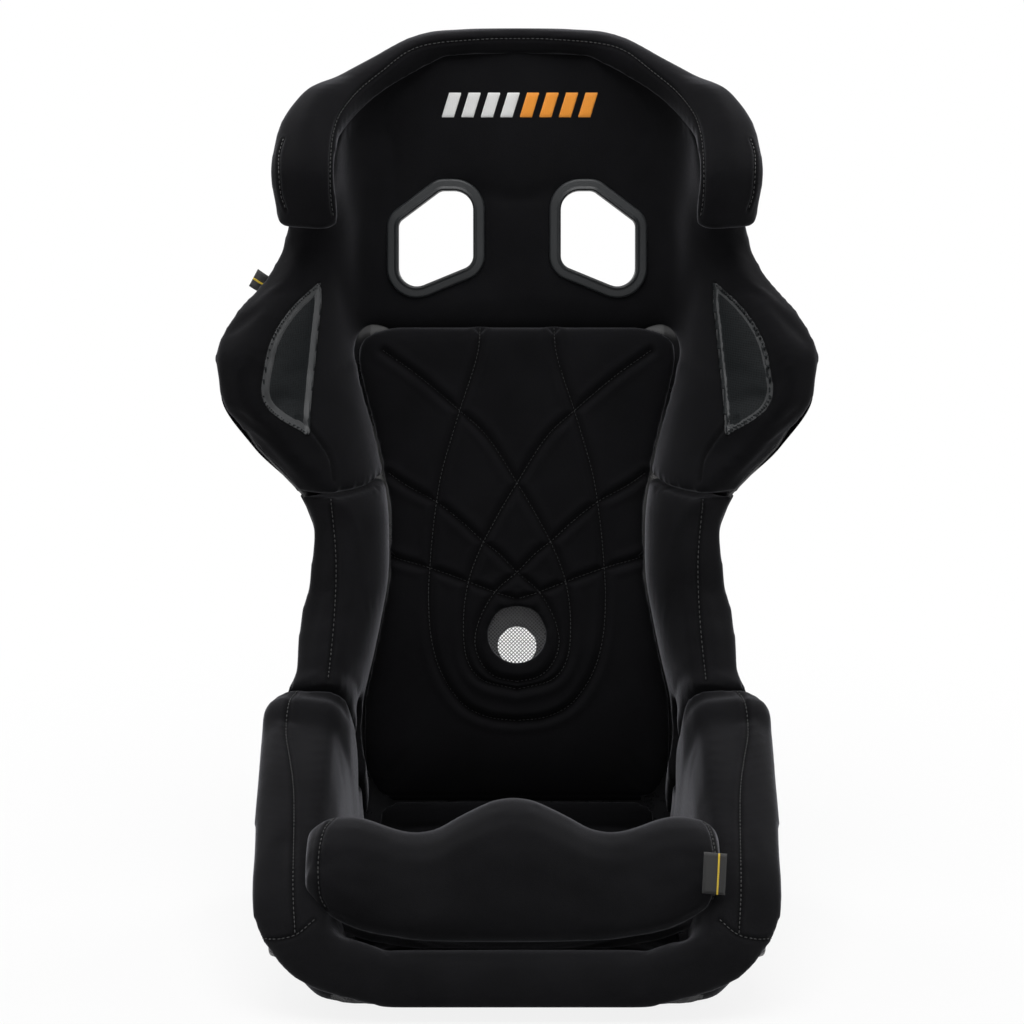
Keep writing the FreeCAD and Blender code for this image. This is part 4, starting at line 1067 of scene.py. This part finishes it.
def finish_piece(piece, slot, nodes=(), finish=None):
    """Gives a piece its finish and smooth shading, and says what it rides on and what it stands for."""
    piece.data.materials.clear()
    piece.data.materials.append(FINISH[finish or slot])
    for polygon in piece.data.polygons:
        polygon.use_smooth = True
    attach(piece, "root")
    if nodes:
        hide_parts(*nodes)


def hem_piece(name, forms):
    hem = solid_object(name, forms)
    subdivided(hem, 2)
    finish_piece(hem, "velour")


for node, slot in NODE_SLOTS.items():
    body = frame["nodes"][node]
    body.data.materials.clear()
    body.data.materials.append(FINISH[slot])


# Stitches

STITCH_SIDES = 6
STITCH_RINGS = ((-0.5, 0.35), (-0.3, 1.0), (0.3, 1.0), (0.5, 0.35))


def stitch_row(name, lines, finish="thread", pitch=0.0042, length=0.0030, radius=0.00038, lift=0.0001):
    """Rows of short stitches that lie along the lines."""
    points, faces = [], []
    for line in lines:
        travelled, wanted = 0.0, 0.0
        for (a, normal), (b, _) in zip(line, line[1:]):
            step = (b - a).length
            if travelled >= wanted and 1e-7 <= step <= JUMP:
                wanted = travelled + pitch
                along = (b - a).normalized()
                side = along.cross(normal).normalized()
                out = side.cross(along)
                base = len(points)
                for share, thick in STITCH_RINGS:
                    centre = a + along * (length * share) + normal * lift
                    for turn in range(STITCH_SIDES):
                        t = math.pi * turn / 3
                        points.append(centre + (side * math.cos(t) + out * math.sin(t)) * radius * thick)
                faces += grid_faces(len(STITCH_RINGS), STITCH_SIDES, ring=True, base=base)
                faces.append([base + k for k in range(STITCH_SIDES)][::-1])
                faces.append([len(points) - STITCH_SIDES + k for k in range(STITCH_SIDES)])
            travelled += step
    if points:
        finish_piece(piece_from(name, points, faces), "velour", finish=finish)


# The covers

FRONT_LIMIT, CRESCENT_FROM = 150, 150


def crescent_weight(points):
    """1 inside the crescents of the shoulders, as the camera sees them, and the distance from their edges."""
    flat = points / MM
    y = flat[:, 1] - SHIFT
    cosine, sine = math.cos(ELEVATION), math.sin(ELEVATION)
    forward = DISTANCE + y * cosine - (flat[:, 2] - AIM_HEIGHT) * sine
    up = (flat[:, 2] - AIM_HEIGHT) * cosine + y * sine
    column = CENTRE_COLUMN - np.abs(FOCAL * flat[:, 0] / forward)
    row = MIDDLE_ROW - FOCAL * up / forward
    outline = np.array([tuple(p) for p in pixel_line(CRESCENT, 2.0)])
    inside = np.zeros(len(points), bool)
    nearest = np.full(len(points), 1e9)
    for (x1, y1), (x2, y2) in zip(outline, np.roll(outline, -1, 0)):
        inside ^= ((y1 > row) != (y2 > row)) & (column < (x2 - x1) * (row - y1) / (y2 - y1 + 1e-12) + x1)
        span = np.array([x2 - x1, y2 - y1])
        t = np.clip(((column - x1) * span[0] + (row - y1) * span[1]) / (span @ span + 1e-12), 0, 1)
        nearest = np.minimum(nearest, np.hypot(column - x1 - t * span[0], row - y1 - t * span[1]))
    signed = np.where(inside, nearest, -nearest)
    front = (y < FRONT_LIMIT) & (np.abs(flat[:, 0]) > CRESCENT_FROM)
    return smoothstep(-1.0, 2.5, signed) * front, signed


# Where the hollow between the middle panel and the shoulders begins and ends, in metres
NECK_ACROSS = (0.126, 0.142, 0.195, 0.215)
NECK_HEIGHT = (0.530, 0.556, 0.735, 0.765)


def near_neck(points):
    """Share of each point in the hollow, where the cloth runs smoothly."""
    across, height = np.abs(points[:, 0]), points[:, 2]
    beside = smoothstep(*NECK_ACROSS[:2], across) * (1 - smoothstep(*NECK_ACROSS[2:], across))
    return beside * smoothstep(*NECK_HEIGHT[:2], height) * (1 - smoothstep(*NECK_HEIGHT[2:], height))


POCKET_DEPTH = 0.0045


def upper_cover():
    shoulder_bulks, shoulder_hems = side_forms(SHOULDER_ROWS, True)
    cover = solid_object("upper_cover", both_sides(shoulder_bulks) + lining_forms())
    joined(cover, [harness_cutter(side) for side, _ in SIDES], VOXEL)
    smoothed(cover, 6)
    relaxed(cover, 40, near_neck(coordinates(cover)))
    inflate(cover, held_by_shell(cover), PRESSURE, 0.004)
    relaxed(cover, 3, CALM)
    relaxed(cover, 25, near_neck(coordinates(cover)))
    subdivided(cover)
    seams, distance = sewn(cover, [CREASE], 0.0016, 0.0024)
    points = coordinates(cover)
    weight, signed = crescent_weight(points)
    set_coordinates(cover, points - normals(cover) * (weight * POCKET_DEPTH)[:, None])
    # The crescent pocket's edges count as seams too, so painted shade darkens the cloth's colour along them.
    mark_seams(cover, np.minimum(distance, np.abs(signed) * MM * 0.9 + (np.abs(signed) > 12)))
    finish_piece(cover, "velour", ["head_and_back_lining", "shoulder_pad_left", "shoulder_pad_right"])
    hem_piece("upper_hem", both_sides(shoulder_hems))
    return surface_of(cover)


def head_cover():
    bulk, hem_form = head_forms()
    cover = cloth_piece("head_cover", [bulk], voxel=FINE_VOXEL, calm=3,
                        held=lambda piece: held_by_shell(piece, 0.003, 0.012))
    seams, distance = sewn(cover, [INNER_EAR_SEAM, EAR_SEAM], 0.0014, 0.0018)
    mark_seams(cover, distance)
    finish_piece(cover, "velour", ["head_band"])
    hem_piece("head_hem", [hem_form])
    stitch_row("head_stitches", seams)


def hip_cover():
    bulks, hems = side_forms(HIP_ROWS, False, 8.0)
    bulks += rounded_end(bulks[-1], (bulks[-1][0] - bulks[-5][0]).normalized() * 12)
    nose_bulks, nose_hems = nose_forms()
    cutters = [lap_cutter(side) for side, _ in SIDES]
    cover = cloth_piece("hip_cover", both_sides(bulks) + [nose_bulks], cutters, height=0.005, calm=5)
    seams, distance = sewn(cover, [RIDGE_SEAM, MITRE_SEAM], 0.0018, 0.0020)
    mark_seams(cover, distance)
    finish_piece(cover, "velour", ["hip_pad_left", "hip_pad_right", "nose_pad"], "pad_velour_nap_and_painted_light")
    hem_piece("hip_hem", both_sides(hems) + [nose_hems])
    stitch_row("hip_stitches", seams)


# The front corners of the pan: place, reach, lift and extra thickness outside the shell
NOSE_CORNERS = ((0.02, 44.0, 2.0, 2), (0.06, 38.0, 3.0, 4), (0.12, 30.0, 5.0, 7), (0.18, 30.0, 5.0, 9))
NOSE_FOAM = 39.0


def nose_forms():
    """Pad over the front lip of the pan, from one hip pad to the other."""
    front, behind = Section(0.0), Section(0.25)
    slope = (behind.point(0, 0) - front.point(0, 0)).normalized()
    bulks, hems = [], []
    for across in (0, 20, 40, 60, 80, 100, 120):
        at = band_at(front.point(across, 0), slope, Vector((0, -slope.z, slope.y)))
        bulks.append(band_bulk(at, 52.0, NOSE_FOAM, 9.0, 2.0, 0.0, 2.0))
        hems.append(hem_outline(at))
    for place, reach, lift, outer in NOSE_CORNERS:
        at = band_at(*rim_frame(place, 0.0))
        bulks.append(band_bulk(at, reach, NOSE_FOAM + 4, 9.0, 1.0, lift, outer))
        hems.append(hem_outline(at))
    s, at = section_at(0.31)
    last = s.corner_at(158.0, WALL + GAP)
    side = [s.point(*s.on_corner(a, WALL + GAP)) for a in between(s.angle, last, 5)]
    bulks.append(bulk_outline(at, side, s.point(158.0, WALL + 24), s.foam + 8, 11, 3, 12.0))
    hems.append(hem_outline(at))
    return [skin([mirrored(o) for o in rows[:0:-1]] + rows) for rows in (bulks, hems)]


def rib_cover(side, name):
    bulks, hems = side_forms(RIB_ROWS, True)
    if side < 0:
        bulks, hems = ([mirrored(o) for o in rows] for rows in (bulks, hems))
    cover = cloth_piece("rib_cover_" + name, [skin(bulks)], [lap_cutter(side)], FINE_VOXEL, 5, calm=4)
    seams, distance = sewn(cover, [RIB_SEAM], 0.0012, 0.0018, [list if side < 0 else flipped])
    mark_seams(cover, distance)
    finish_piece(cover, "velour", ["rib_pad_" + name], "pad_velour_nap_and_painted_light")
    hem_piece("rib_hem_" + name, [skin(hems)])
    stitch_row("rib_stitches_" + name, seams)


# Loose cushions

def cushion_outline(s, half, thick, under, crown):
    low, high = under, under + thick
    right = [(half - 9, low), (half - 3, low + thick * 0.25), (half, low + thick * 0.55),
             (half - 2, high - 4), (half - 8, high - 0.8), (half - 16, high + crown * 0.2),
             (half * 0.62, high + crown * 0.75), (half * 0.3, high + crown)]
    right = [s.point(*p) for p in right]
    return right + mirrored(right)[::-1]


CUSHION_ENDS = (5.62, 9.91)


def back_cushion():
    start, end = CUSHION_ENDS
    outlines = []
    for place in stations(start, end):
        s, half = Section(place), cushion_half(place)
        lift = max(0.0, s.on_corner(s.corner_at(half - 9, 4.3), 4.3)[1] - 4.3 - 2.0)
        ends = 1 - min(1.0, (place - start) / 0.08) + 1 - min(1.0, (end - place) / 0.05)
        thick = CUSHION_THICKNESS - lift - 5 * ends
        outlines.append(cushion_outline(s, half, thick, CUSHION_UNDER + lift, 4.0))
    cushion = cloth_piece("back_cushion_quilted", [skin(outlines)], [vent_cutter()], FINE_VOXEL, 4,
                          held_by_quilting, 5.0, 0.005)
    mark_seams(cushion, carve(cushion, quilt_hits(surface_of(cushion)), 0.0042, 0.0036, 0.3))
    finish_piece(cushion, "velour", ["back_cushion"])
    lines = quilt_hits(surface_of(cushion))
    stitch_row("quilting_stitches", lines, "dark_thread", 0.0036, 0.0026, 0.0003, 0.0)


def held_by_quilting(cushion):
    """The shell holds the cushion from behind and the sewn channels hold its front."""
    distance = line_distance(coordinates(cushion), quilt_hits(surface_of(cushion)), 0.02)
    held = np.maximum(held_by_shell(cushion, 0.006, 0.014), np.exp(-(distance / 0.004) ** 2))
    return np.clip(held, 0, 1)


def quilt_hits(surface):
    """The sewn channels on the front of the back cushion."""
    lines = []
    for line in QUILT_LINES:
        for side in (1, -1):
            hits = []
            for p in pixel_line([(side * x, z) for x, z in line]):
                place, normal, _, _ = surface.ray_cast(Vector((p.x * MM, -0.2, p.y * MM)), Vector((0, 1, 0)))
                if place is not None:
                    hits.append((place, normal))
            lines.append(hits)
    return lines


def seat_cushion():
    half_curve, thin_curve = row_curves(SEAT_PLACES)
    outlines = []
    for place in stations(0.64, 5.56):
        thick = CUSHION_THICKNESS + thin_curve(place)
        outlines.append(cushion_outline(Section(place), half_curve(place), thick, CUSHION_UNDER, 3.0))
    cushion = cloth_piece("seat_cushion_cover", [skin(outlines)], rounds=4, height=0.003,
                          held=lambda piece: held_by_shell(piece, 0.006, 0.016))
    mark_seams(cushion, np.full(len(cushion.data.vertices), SEAM_RANGE * MM))
    finish_piece(cushion, "velour", ["seat_cushion"])


THIGH_FRONT, THIGH_BACK, THIGH_SEAT, THIGH_RISE = -302.0, -92.0, 35.6, 30.0
POMMEL, VALLEY, HORN = 190.0, 156.0, 174.0
THIGH_SHIFT = -3.5
# The thigh pad from its middle outward: across, height of the top, lift of the underside, share of the size.
THIGH_ROWS = [
    (0, POMMEL, 0, 1), (16, POMMEL - 2, 0, 1), (34, POMMEL - 10, 0, 1), (54, (POMMEL + VALLEY) / 2 - 3, 0, 1),
    (74, VALLEY + 3, 0, 1), (94, VALLEY, 1, 1), (116, VALLEY + 5, 4, 1), (138, HORN - 4, 8, 1),
    (156, HORN, 14, 0.99), (THIGH_HALF - 19, HORN - 1, 23, 0.96), (THIGH_HALF - 8, HORN - 5, 31, 0.91),
    (THIGH_HALF, HORN - 11, 36, 0.80),
]


def thigh_outline(across, top, lift, drawn):
    front, back = THIGH_FRONT, THIGH_BACK
    lip, under = THIGH_SEAT + THIGH_RISE + lift, THIGH_SEAT + lift
    points = [(back, under), (front + 66, under + 5), (front + 34, lip), (front + 10, lip + 3),
              (front - 2, lip + 16), (front - 6, lip + 38), (front, top - 34), (front + 14, top - 12),
              (front + 34, top - 2), (front + 56, top), (front + 82, top - 8),
              (front + 112, top - (top - under) * 0.3), (front + 150, top - (top - under) * 0.58),
              (back - 22, under + 20), (back - 3, under + 9)]
    middle_y, middle_z = front + 62, (top + lip) / 2 + 6
    outline = []
    for y, z in points:
        y, z = middle_y + (y - middle_y) * drawn + SHIFT, middle_z + (z - middle_z) * drawn
        outline.append(Vector((across + THIGH_SHIFT, y, z)))
    return outline


def held_by_hips(pad):
    """Share by which the hip pads hold each vertex of the thigh pad."""
    hips = BVHTree.FromPolygons(*joined_nodes(["hip_pad_left", "hip_pad_right"]))
    return 1 - smoothstep(0.002, 0.010, distance_to(hips, coordinates(pad), 0.010))


def thigh_pad():
    curves = row_curves(THIGH_ROWS)
    right = []
    for across in between(0, THIGH_HALF, 32):
        right.append(thigh_outline(across, *(curve(across) for curve in curves)))
    left = [[Vector((2 * THIGH_SHIFT - p.x, p.y, p.z)) for p in outline] for outline in right[:0:-1]]
    pad = cloth_piece("thigh_cushion", [skin(left + right)], rounds=8, held=held_by_hips, calm=4)
    seams, distance = sewn(pad, [THIGH_END_SEAM], 0.0018, 0.0020)
    mark_seams(pad, distance)
    finish_piece(pad, "velour", ["thigh_pad"], "pad_velour_nap_and_painted_light")
    stitch_row("thigh_stitches", seams)
    return surface_of(pad)


def joined_nodes(names):
    points, faces = [], []
    for name in names:
        mesh = frame["nodes"][name].data
        base = len(points)
        points += [v.co.copy() for v in mesh.vertices]
        faces += [[base + i for i in p.vertices] for p in mesh.polygons]
    return points, faces


# Moulded frames of the harness slots

# Profiles: distance from the opening and height over the shell's outer back
BEZEL_PROFILE = [
    (0.3, -3.9), (0.0, -3.2), (0.0, 28.0), (0.5, 29.2), (1.7, 29.9), (2.9, 29.5), (3.6, 28.7), (4.6, 28.4),
    (9.4, 28.4), (10.6, 28.0), (11.5, 27.1), (12.0, 25.8), (12.0, 24.9), (11.6, 24.6), (2.5, 24.6),
    (2.5, -3.4), (2.0, -3.9),
]
BACK_RING_PROFILE = [
    (2.65, -0.3), (12.4, -0.3), (12.65, -0.6), (12.65, -3.0), (12.1, -3.9), (11.0, -4.3), (4.0, -4.3),
    (3.0, -4.0), (2.65, -3.4),
]
HARD_CORNER = math.radians(40)


def harness_frame_piece(name, side, profile, node):
    """A ring with a profile round one harness slot."""
    rows = [on_slot(side, slot_outline(side, 12, grow), height) for grow, height in profile]
    points = [p * MM for row in rows for p in row]
    piece = piece_from(name, points, grid_faces(len(rows), len(rows[0]), ring=True, loop=True))
    outward_normals(piece.data)
    finish_piece(piece, "trim_plastic", [node])
    piece.data.set_sharp_from_angle(angle=HARD_CORNER)


# Inserts, net, tags and embroidery

def inside_outline(outline, column, row):
    inside = False
    for (x1, y1), (x2, y2) in zip(outline, outline[1:] + outline[:1]):
        if (y1 > row) != (y2 > row) and column < (x2 - x1) * (row - y1) / (y2 - y1) + x1:
            inside = not inside
    return inside


# Reach inward from the outline in pixels, and height over the surface
BINDING_PROFILE = ((-1.0, 0.0002), (0.5, 0.0016), (3.0, 0.0024), (6.0, 0.0018), (7.5, 0.0003))
MESH_LIFT, MESH_CELL = 0.0009, 2.0


def insert_panel(surface, outline, name):
    """Spacer mesh that fills an outline in pixels, in small cells on the surface."""
    left, top = (min(p[k] for p in outline) for k in (0, 1))
    right, bottom = (max(p[k] for p in outline) for k in (0, 1))
    cells, points, faces = {}, [], []

    def corner(i, j):
        if (i, j) not in cells:
            hit = cast_pixels(surface, [(left + i * MESH_CELL, top + j * MESH_CELL)])
            cells[i, j] = len(points) if hit else None
            points.extend(place + normal * MESH_LIFT for place, normal in hit)
        return cells[i, j]
    for i in range(int((right - left) / MESH_CELL) + 1):
        for j in range(int((bottom - top) / MESH_CELL) + 1):
            if inside_outline(outline, left + (i + 0.5) * MESH_CELL, top + (j + 0.5) * MESH_CELL):
                corners = [corner(i, j), corner(i + 1, j), corner(i + 1, j + 1), corner(i, j + 1)]
                if None not in corners:
                    faces.append(corners)
    panel = piece_from("shoulder_mesh_" + name, points, faces)
    thickened(panel, 0.0012)
    finish_piece(panel, "insert_mesh", ["shoulder_insert_" + name])


def insert_binding(surface, outline, name):
    """Bound edge round the spacer mesh."""
    centre = sum((Vector(p) for p in outline), Vector((0, 0))) / len(outline)
    rings = []
    for k, (column, row) in enumerate(outline):
        before, after = outline[k - 1], outline[(k + 1) % len(outline)]
        across = Vector((-(after[1] - before[1]), after[0] - before[0])).normalized()
        if across.dot(centre - Vector((column, row))) < 0:
            across = -across
        ring = []
        for reach, height in BINDING_PROFILE:
            hits = cast_pixels(surface, [(column + across.x * reach, row + across.y * reach)])
            ring += [place + normal * height for place, normal in hits]
        if len(ring) == len(BINDING_PROFILE):
            rings.append(ring)
    faces = grid_faces(len(rings), len(BINDING_PROFILE), loop=True)
    border = piece_from("shoulder_binding_" + name, [p for ring in rings for p in ring], faces)
    thickened(border, 0.0008)
    subdivided(border)
    finish_piece(border, "insert_mesh", finish="bias_tape")


def shoulder_insert(surface, side, name):
    """Spacer mesh in the pocket of one shoulder and the bound edge round it."""
    line = CRESCENT if side < 0 else flipped(CRESCENT)
    outline = [tuple(p) for p in pixel_line(line, 2.5)][:-1]
    insert_panel(surface, outline, name)
    insert_binding(surface, outline, name)


NET_PITCH, NET_THREAD, NET_WAVE = 2.7, 0.42, 0.35
THREAD_SIDES = 5


def vent_net():
    """Diagonal net of round threads, one set passing over and under the other."""
    placement = back_placement(VENT_HEIGHT)
    radius = VENT_RADIUS + 1.0
    points, faces = [], []
    reach = int(radius / NET_PITCH)
    for family in (1, -1):
        along = Vector((1, family, 0)).normalized()
        across = Vector((-along.y, along.x, 0))
        for k in range(-reach, reach + 1):
            offset = k * NET_PITCH
            half = math.sqrt(max(0.0, radius ** 2 - offset ** 2))
            steps = int(2 * half / (NET_PITCH / 2))
            if steps < 2:
                continue
            base = len(points)
            for i in range(steps + 1):
                travel = -half + 2 * half * i / steps
                wave = family * NET_WAVE * math.cos(math.pi * (travel / NET_PITCH + k))
                flat = along * travel + across * offset
                for turn in range(THREAD_SIDES):
                    t = 2 * math.pi * turn / THREAD_SIDES
                    x, y = (flat[n] + across[n] * NET_THREAD * math.cos(t) for n in (0, 1))
                    height = NET_HEIGHT + wave + NET_THREAD * math.sin(t)
                    points.append(on_back(placement, x, y, height) * MM)
            faces += grid_faces(steps + 1, THREAD_SIDES, ring=True, base=base)
            faces.append([base + n for n in range(THREAD_SIDES)])
            faces.append([len(points) - THREAD_SIDES + n for n in range(THREAD_SIDES)][::-1])
    finish_piece(piece_from("vent_net_woven", points, faces), "vent_mesh", ["vent_net"])


def in_corners(corners, u, v):
    """The point at shares u and v between four corners."""
    a, b, c, d = corners
    return a * (1 - u) * (1 - v) + b * u * (1 - v) + c * u * v + d * (1 - u) * v


PATCH_HEIGHT, PATCH_STEPS, PATCH_EDGE = 0.0009, 14, 0.18


def patch(name, surface, corners, finish):
    """Raised embroidery that fills four corners given in pixels."""
    corners = [Vector(p) for p in corners]
    points = []
    for i in range(PATCH_STEPS + 1):
        for j in range(PATCH_STEPS + 1):
            u, v = i / PATCH_STEPS, j / PATCH_STEPS
            place, normal = cast_pixels(surface, [in_corners(corners, u, v)])[0]
            edge = min(u, 1 - u, v, 1 - v)
            points.append(place + normal * (PATCH_HEIGHT * min(1.0, edge / PATCH_EDGE) ** 0.5 - 0.0002))
    piece = piece_from(name, points, grid_faces(PATCH_STEPS + 1, PATCH_STEPS + 1))
    thickened(piece, 0.0004)
    finish_piece(piece, "velour", finish=finish)


def embroidery(surface):
    """Plain row of slanted bars on the head panel, in pixels."""
    left, top, bottom, slant, width, pitch = 441, 92, 118, 8, 13, 19.5
    for k in range(8):
        start = left + k * pitch
        corners = [(start + slant, top), (start + slant + width, top),
                   (start + width, bottom), (start, bottom)]
        patch("embroidered_bar_%d" % k, surface, corners, "white_thread" if k < 4 else "orange_thread")


def at_depth(pixel, y):
    """Point on the camera's line through a pixel, at a distance y along the seat in millimetres."""
    direction = pixel_direction(*pixel)
    return CAMERA_PLACE + direction * ((y * MM - CAMERA_PLACE.y) / direction.y)


TAG_ROWS, TAG_COLUMNS, TAG_BOW, TAG_THICKNESS = 12, 6, 0.0012, 0.0010
STRIPE_PROUD = 0.0006


def tag(name, node, corners, y, stripe):
    """Folded woven tag with a thin stripe, from its corners in pixels and its distance along the seat."""
    corners = [at_depth(corner, y) for corner in corners]
    parts = ((name, [node], "tag_cloth", (0.0, 1.0), 0.0),
             (name + "_stripe", (), "yellow_thread", stripe, STRIPE_PROUD))
    for part, nodes, finish, (start, end), proud in parts:
        points = []
        for i in range(TAG_ROWS + 1):
            for j in range(TAG_COLUMNS + 1):
                u, v = i / TAG_ROWS, start + (end - start) * j / TAG_COLUMNS
                bow = TAG_BOW * math.sin(math.pi * u) + proud
                points.append(in_corners(corners, v, u) - Vector((0, bow, 0)))
        piece = piece_from(part, points, grid_faces(TAG_ROWS + 1, TAG_COLUMNS + 1))
        thickened(piece, TAG_THICKNESS, 0.0)
        finish_piece(piece, "tag_cloth", nodes, finish=finish)


# Studio

FLOOR = [(-6, -8, 0), (6, -8, 0), (6, 8, 0), (-6, 8, 0)]
# Lamps: name, place, size and power. They all point at the middle of the seat.
LAMPS = [
    ("top", (0, -0.7, 2.9), 2.2, 74), ("front", (0, -3.6, 1.2), 1.8, 12),
    ("left", (-2.7, -0.5, 1.7), 1.6, 13), ("right", (2.7, -0.5, 1.7), 1.6, 13),
    ("rim_left", (-1.9, 1.7, 1.7), 1.2, 28), ("rim_right", (1.9, 1.7, 1.7), 1.2, 28),
]
LAMP_AIM = Vector((0, 0, 0.42))
SENSOR = 36.0


def studio():
    """A pale floor that the camera sees nearly white, a pale world and soft lamps."""
    floor = piece_from("floor", FLOOR, [[0, 1, 2, 3]])
    material, tree, shader, where = node_material("studio_floor")
    set_inputs(shader, {"Base Color": (0.72, 0.72, 0.72, 1), "Roughness": 0.8})
    glow = add_node(tree, "ShaderNodeEmission", Color=(1, 1, 1, 1), Strength=1.0)
    seen = tree.nodes.new("ShaderNodeLightPath").outputs["Is Camera Ray"]
    distance = add_node(tree, "ShaderNodeVectorMath", operation="LENGTH")
    tree.links.new(where, distance.inputs[0])
    fade = add_node(tree, "ShaderNodeMapRange", interpolation_type="SMOOTHSTEP")
    tree.links.new(distance.outputs["Value"], fade.inputs["Value"])
    set_inputs(fade, {"From Min": 0.35, "From Max": 1.3, "To Min": 0.86, "To Max": 1.0})
    mix = tree.nodes.new("ShaderNodeMixShader")
    share = math_node(tree, "MULTIPLY", seen, fade.outputs["Result"])
    for source, socket in zip((share, shader.outputs[0], glow.outputs[0]), mix.inputs):
        tree.links.new(source, socket)
    tree.links.new(mix.outputs[0], tree.nodes["Material Output"].inputs["Surface"])
    floor.data.materials.append(material)
    world = bpy.data.worlds.new("studio")
    world.use_nodes = True
    tree = world.node_tree
    back = tree.nodes["Background"]
    set_inputs(back, {"Color": (1, 1, 1, 1)})
    path = tree.nodes.new("ShaderNodeLightPath").outputs
    seen = math_node(tree, "MAXIMUM", path["Is Camera Ray"],
                     math_node(tree, "MAXIMUM", path["Is Glossy Ray"], path["Is Transmission Ray"]))
    strength = math_node(tree, "ADD", math_node(tree, "MULTIPLY", seen, 0.88), 0.12)
    tree.links.new(strength, back.inputs["Strength"])
    bpy.context.scene.world = world
    for name, place, size, power in LAMPS:
        lamp = bpy.data.lights.new(name, "AREA")
        lamp.size = size
        lamp.energy = power
        holder = new_object(name, lamp)
        holder.location = place
        holder.rotation_euler = (LAMP_AIM - Vector(place)).to_track_quat("-Z", "Y").to_euler()


def camera():
    """The photograph's camera."""
    data = bpy.data.cameras.new("camera")
    data.sensor_width = SENSOR
    data.lens = FOCAL * SENSOR / IMAGE
    data.shift_x = (IMAGE / 2 - CENTRE_COLUMN) / IMAGE
    data.clip_start, data.clip_end = 0.1, 60
    holder = new_object("camera", data)
    holder.location = CAMERA_PLACE
    holder.rotation_euler = (math.pi / 2 - ELEVATION, 0, 0)
    bpy.context.scene.camera = holder


camera()
studio()
bpy.context.scene.view_settings.view_transform = "Standard"
upper_surface = upper_cover()
head_cover()
hip_cover()
for side, name in SIDES:
    rib_cover(side, name)
back_cushion()
seat_cushion()
thigh_surface = thigh_pad()
for side, name in SIDES:
    shoulder_insert(upper_surface, side, name)
for side, name in SIDES:
    harness_frame_piece("harness_frame_front_" + name, side, BEZEL_PROFILE, "harness_bezel_" + name)
    harness_frame_piece("harness_frame_back_" + name, side, BACK_RING_PROFILE, "harness_back_ring_" + name)
vent_net()
embroidery(upper_surface)
shoulder_tag_y = sum(corner.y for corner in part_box("shoulder_tag")) / 2 / MM
tag("shoulder_tag_folded", "shoulder_tag", SHOULDER_TAG, shoulder_tag_y, (0.42, 0.52))
thigh_tag_y = cast_pixels(thigh_surface, [THIGH_TAG_SEWN])[0][0].y / MM - 5
tag("thigh_tag_folded", "thigh_tag", THIGH_TAG, thigh_tag_y, (0.62, 0.70))
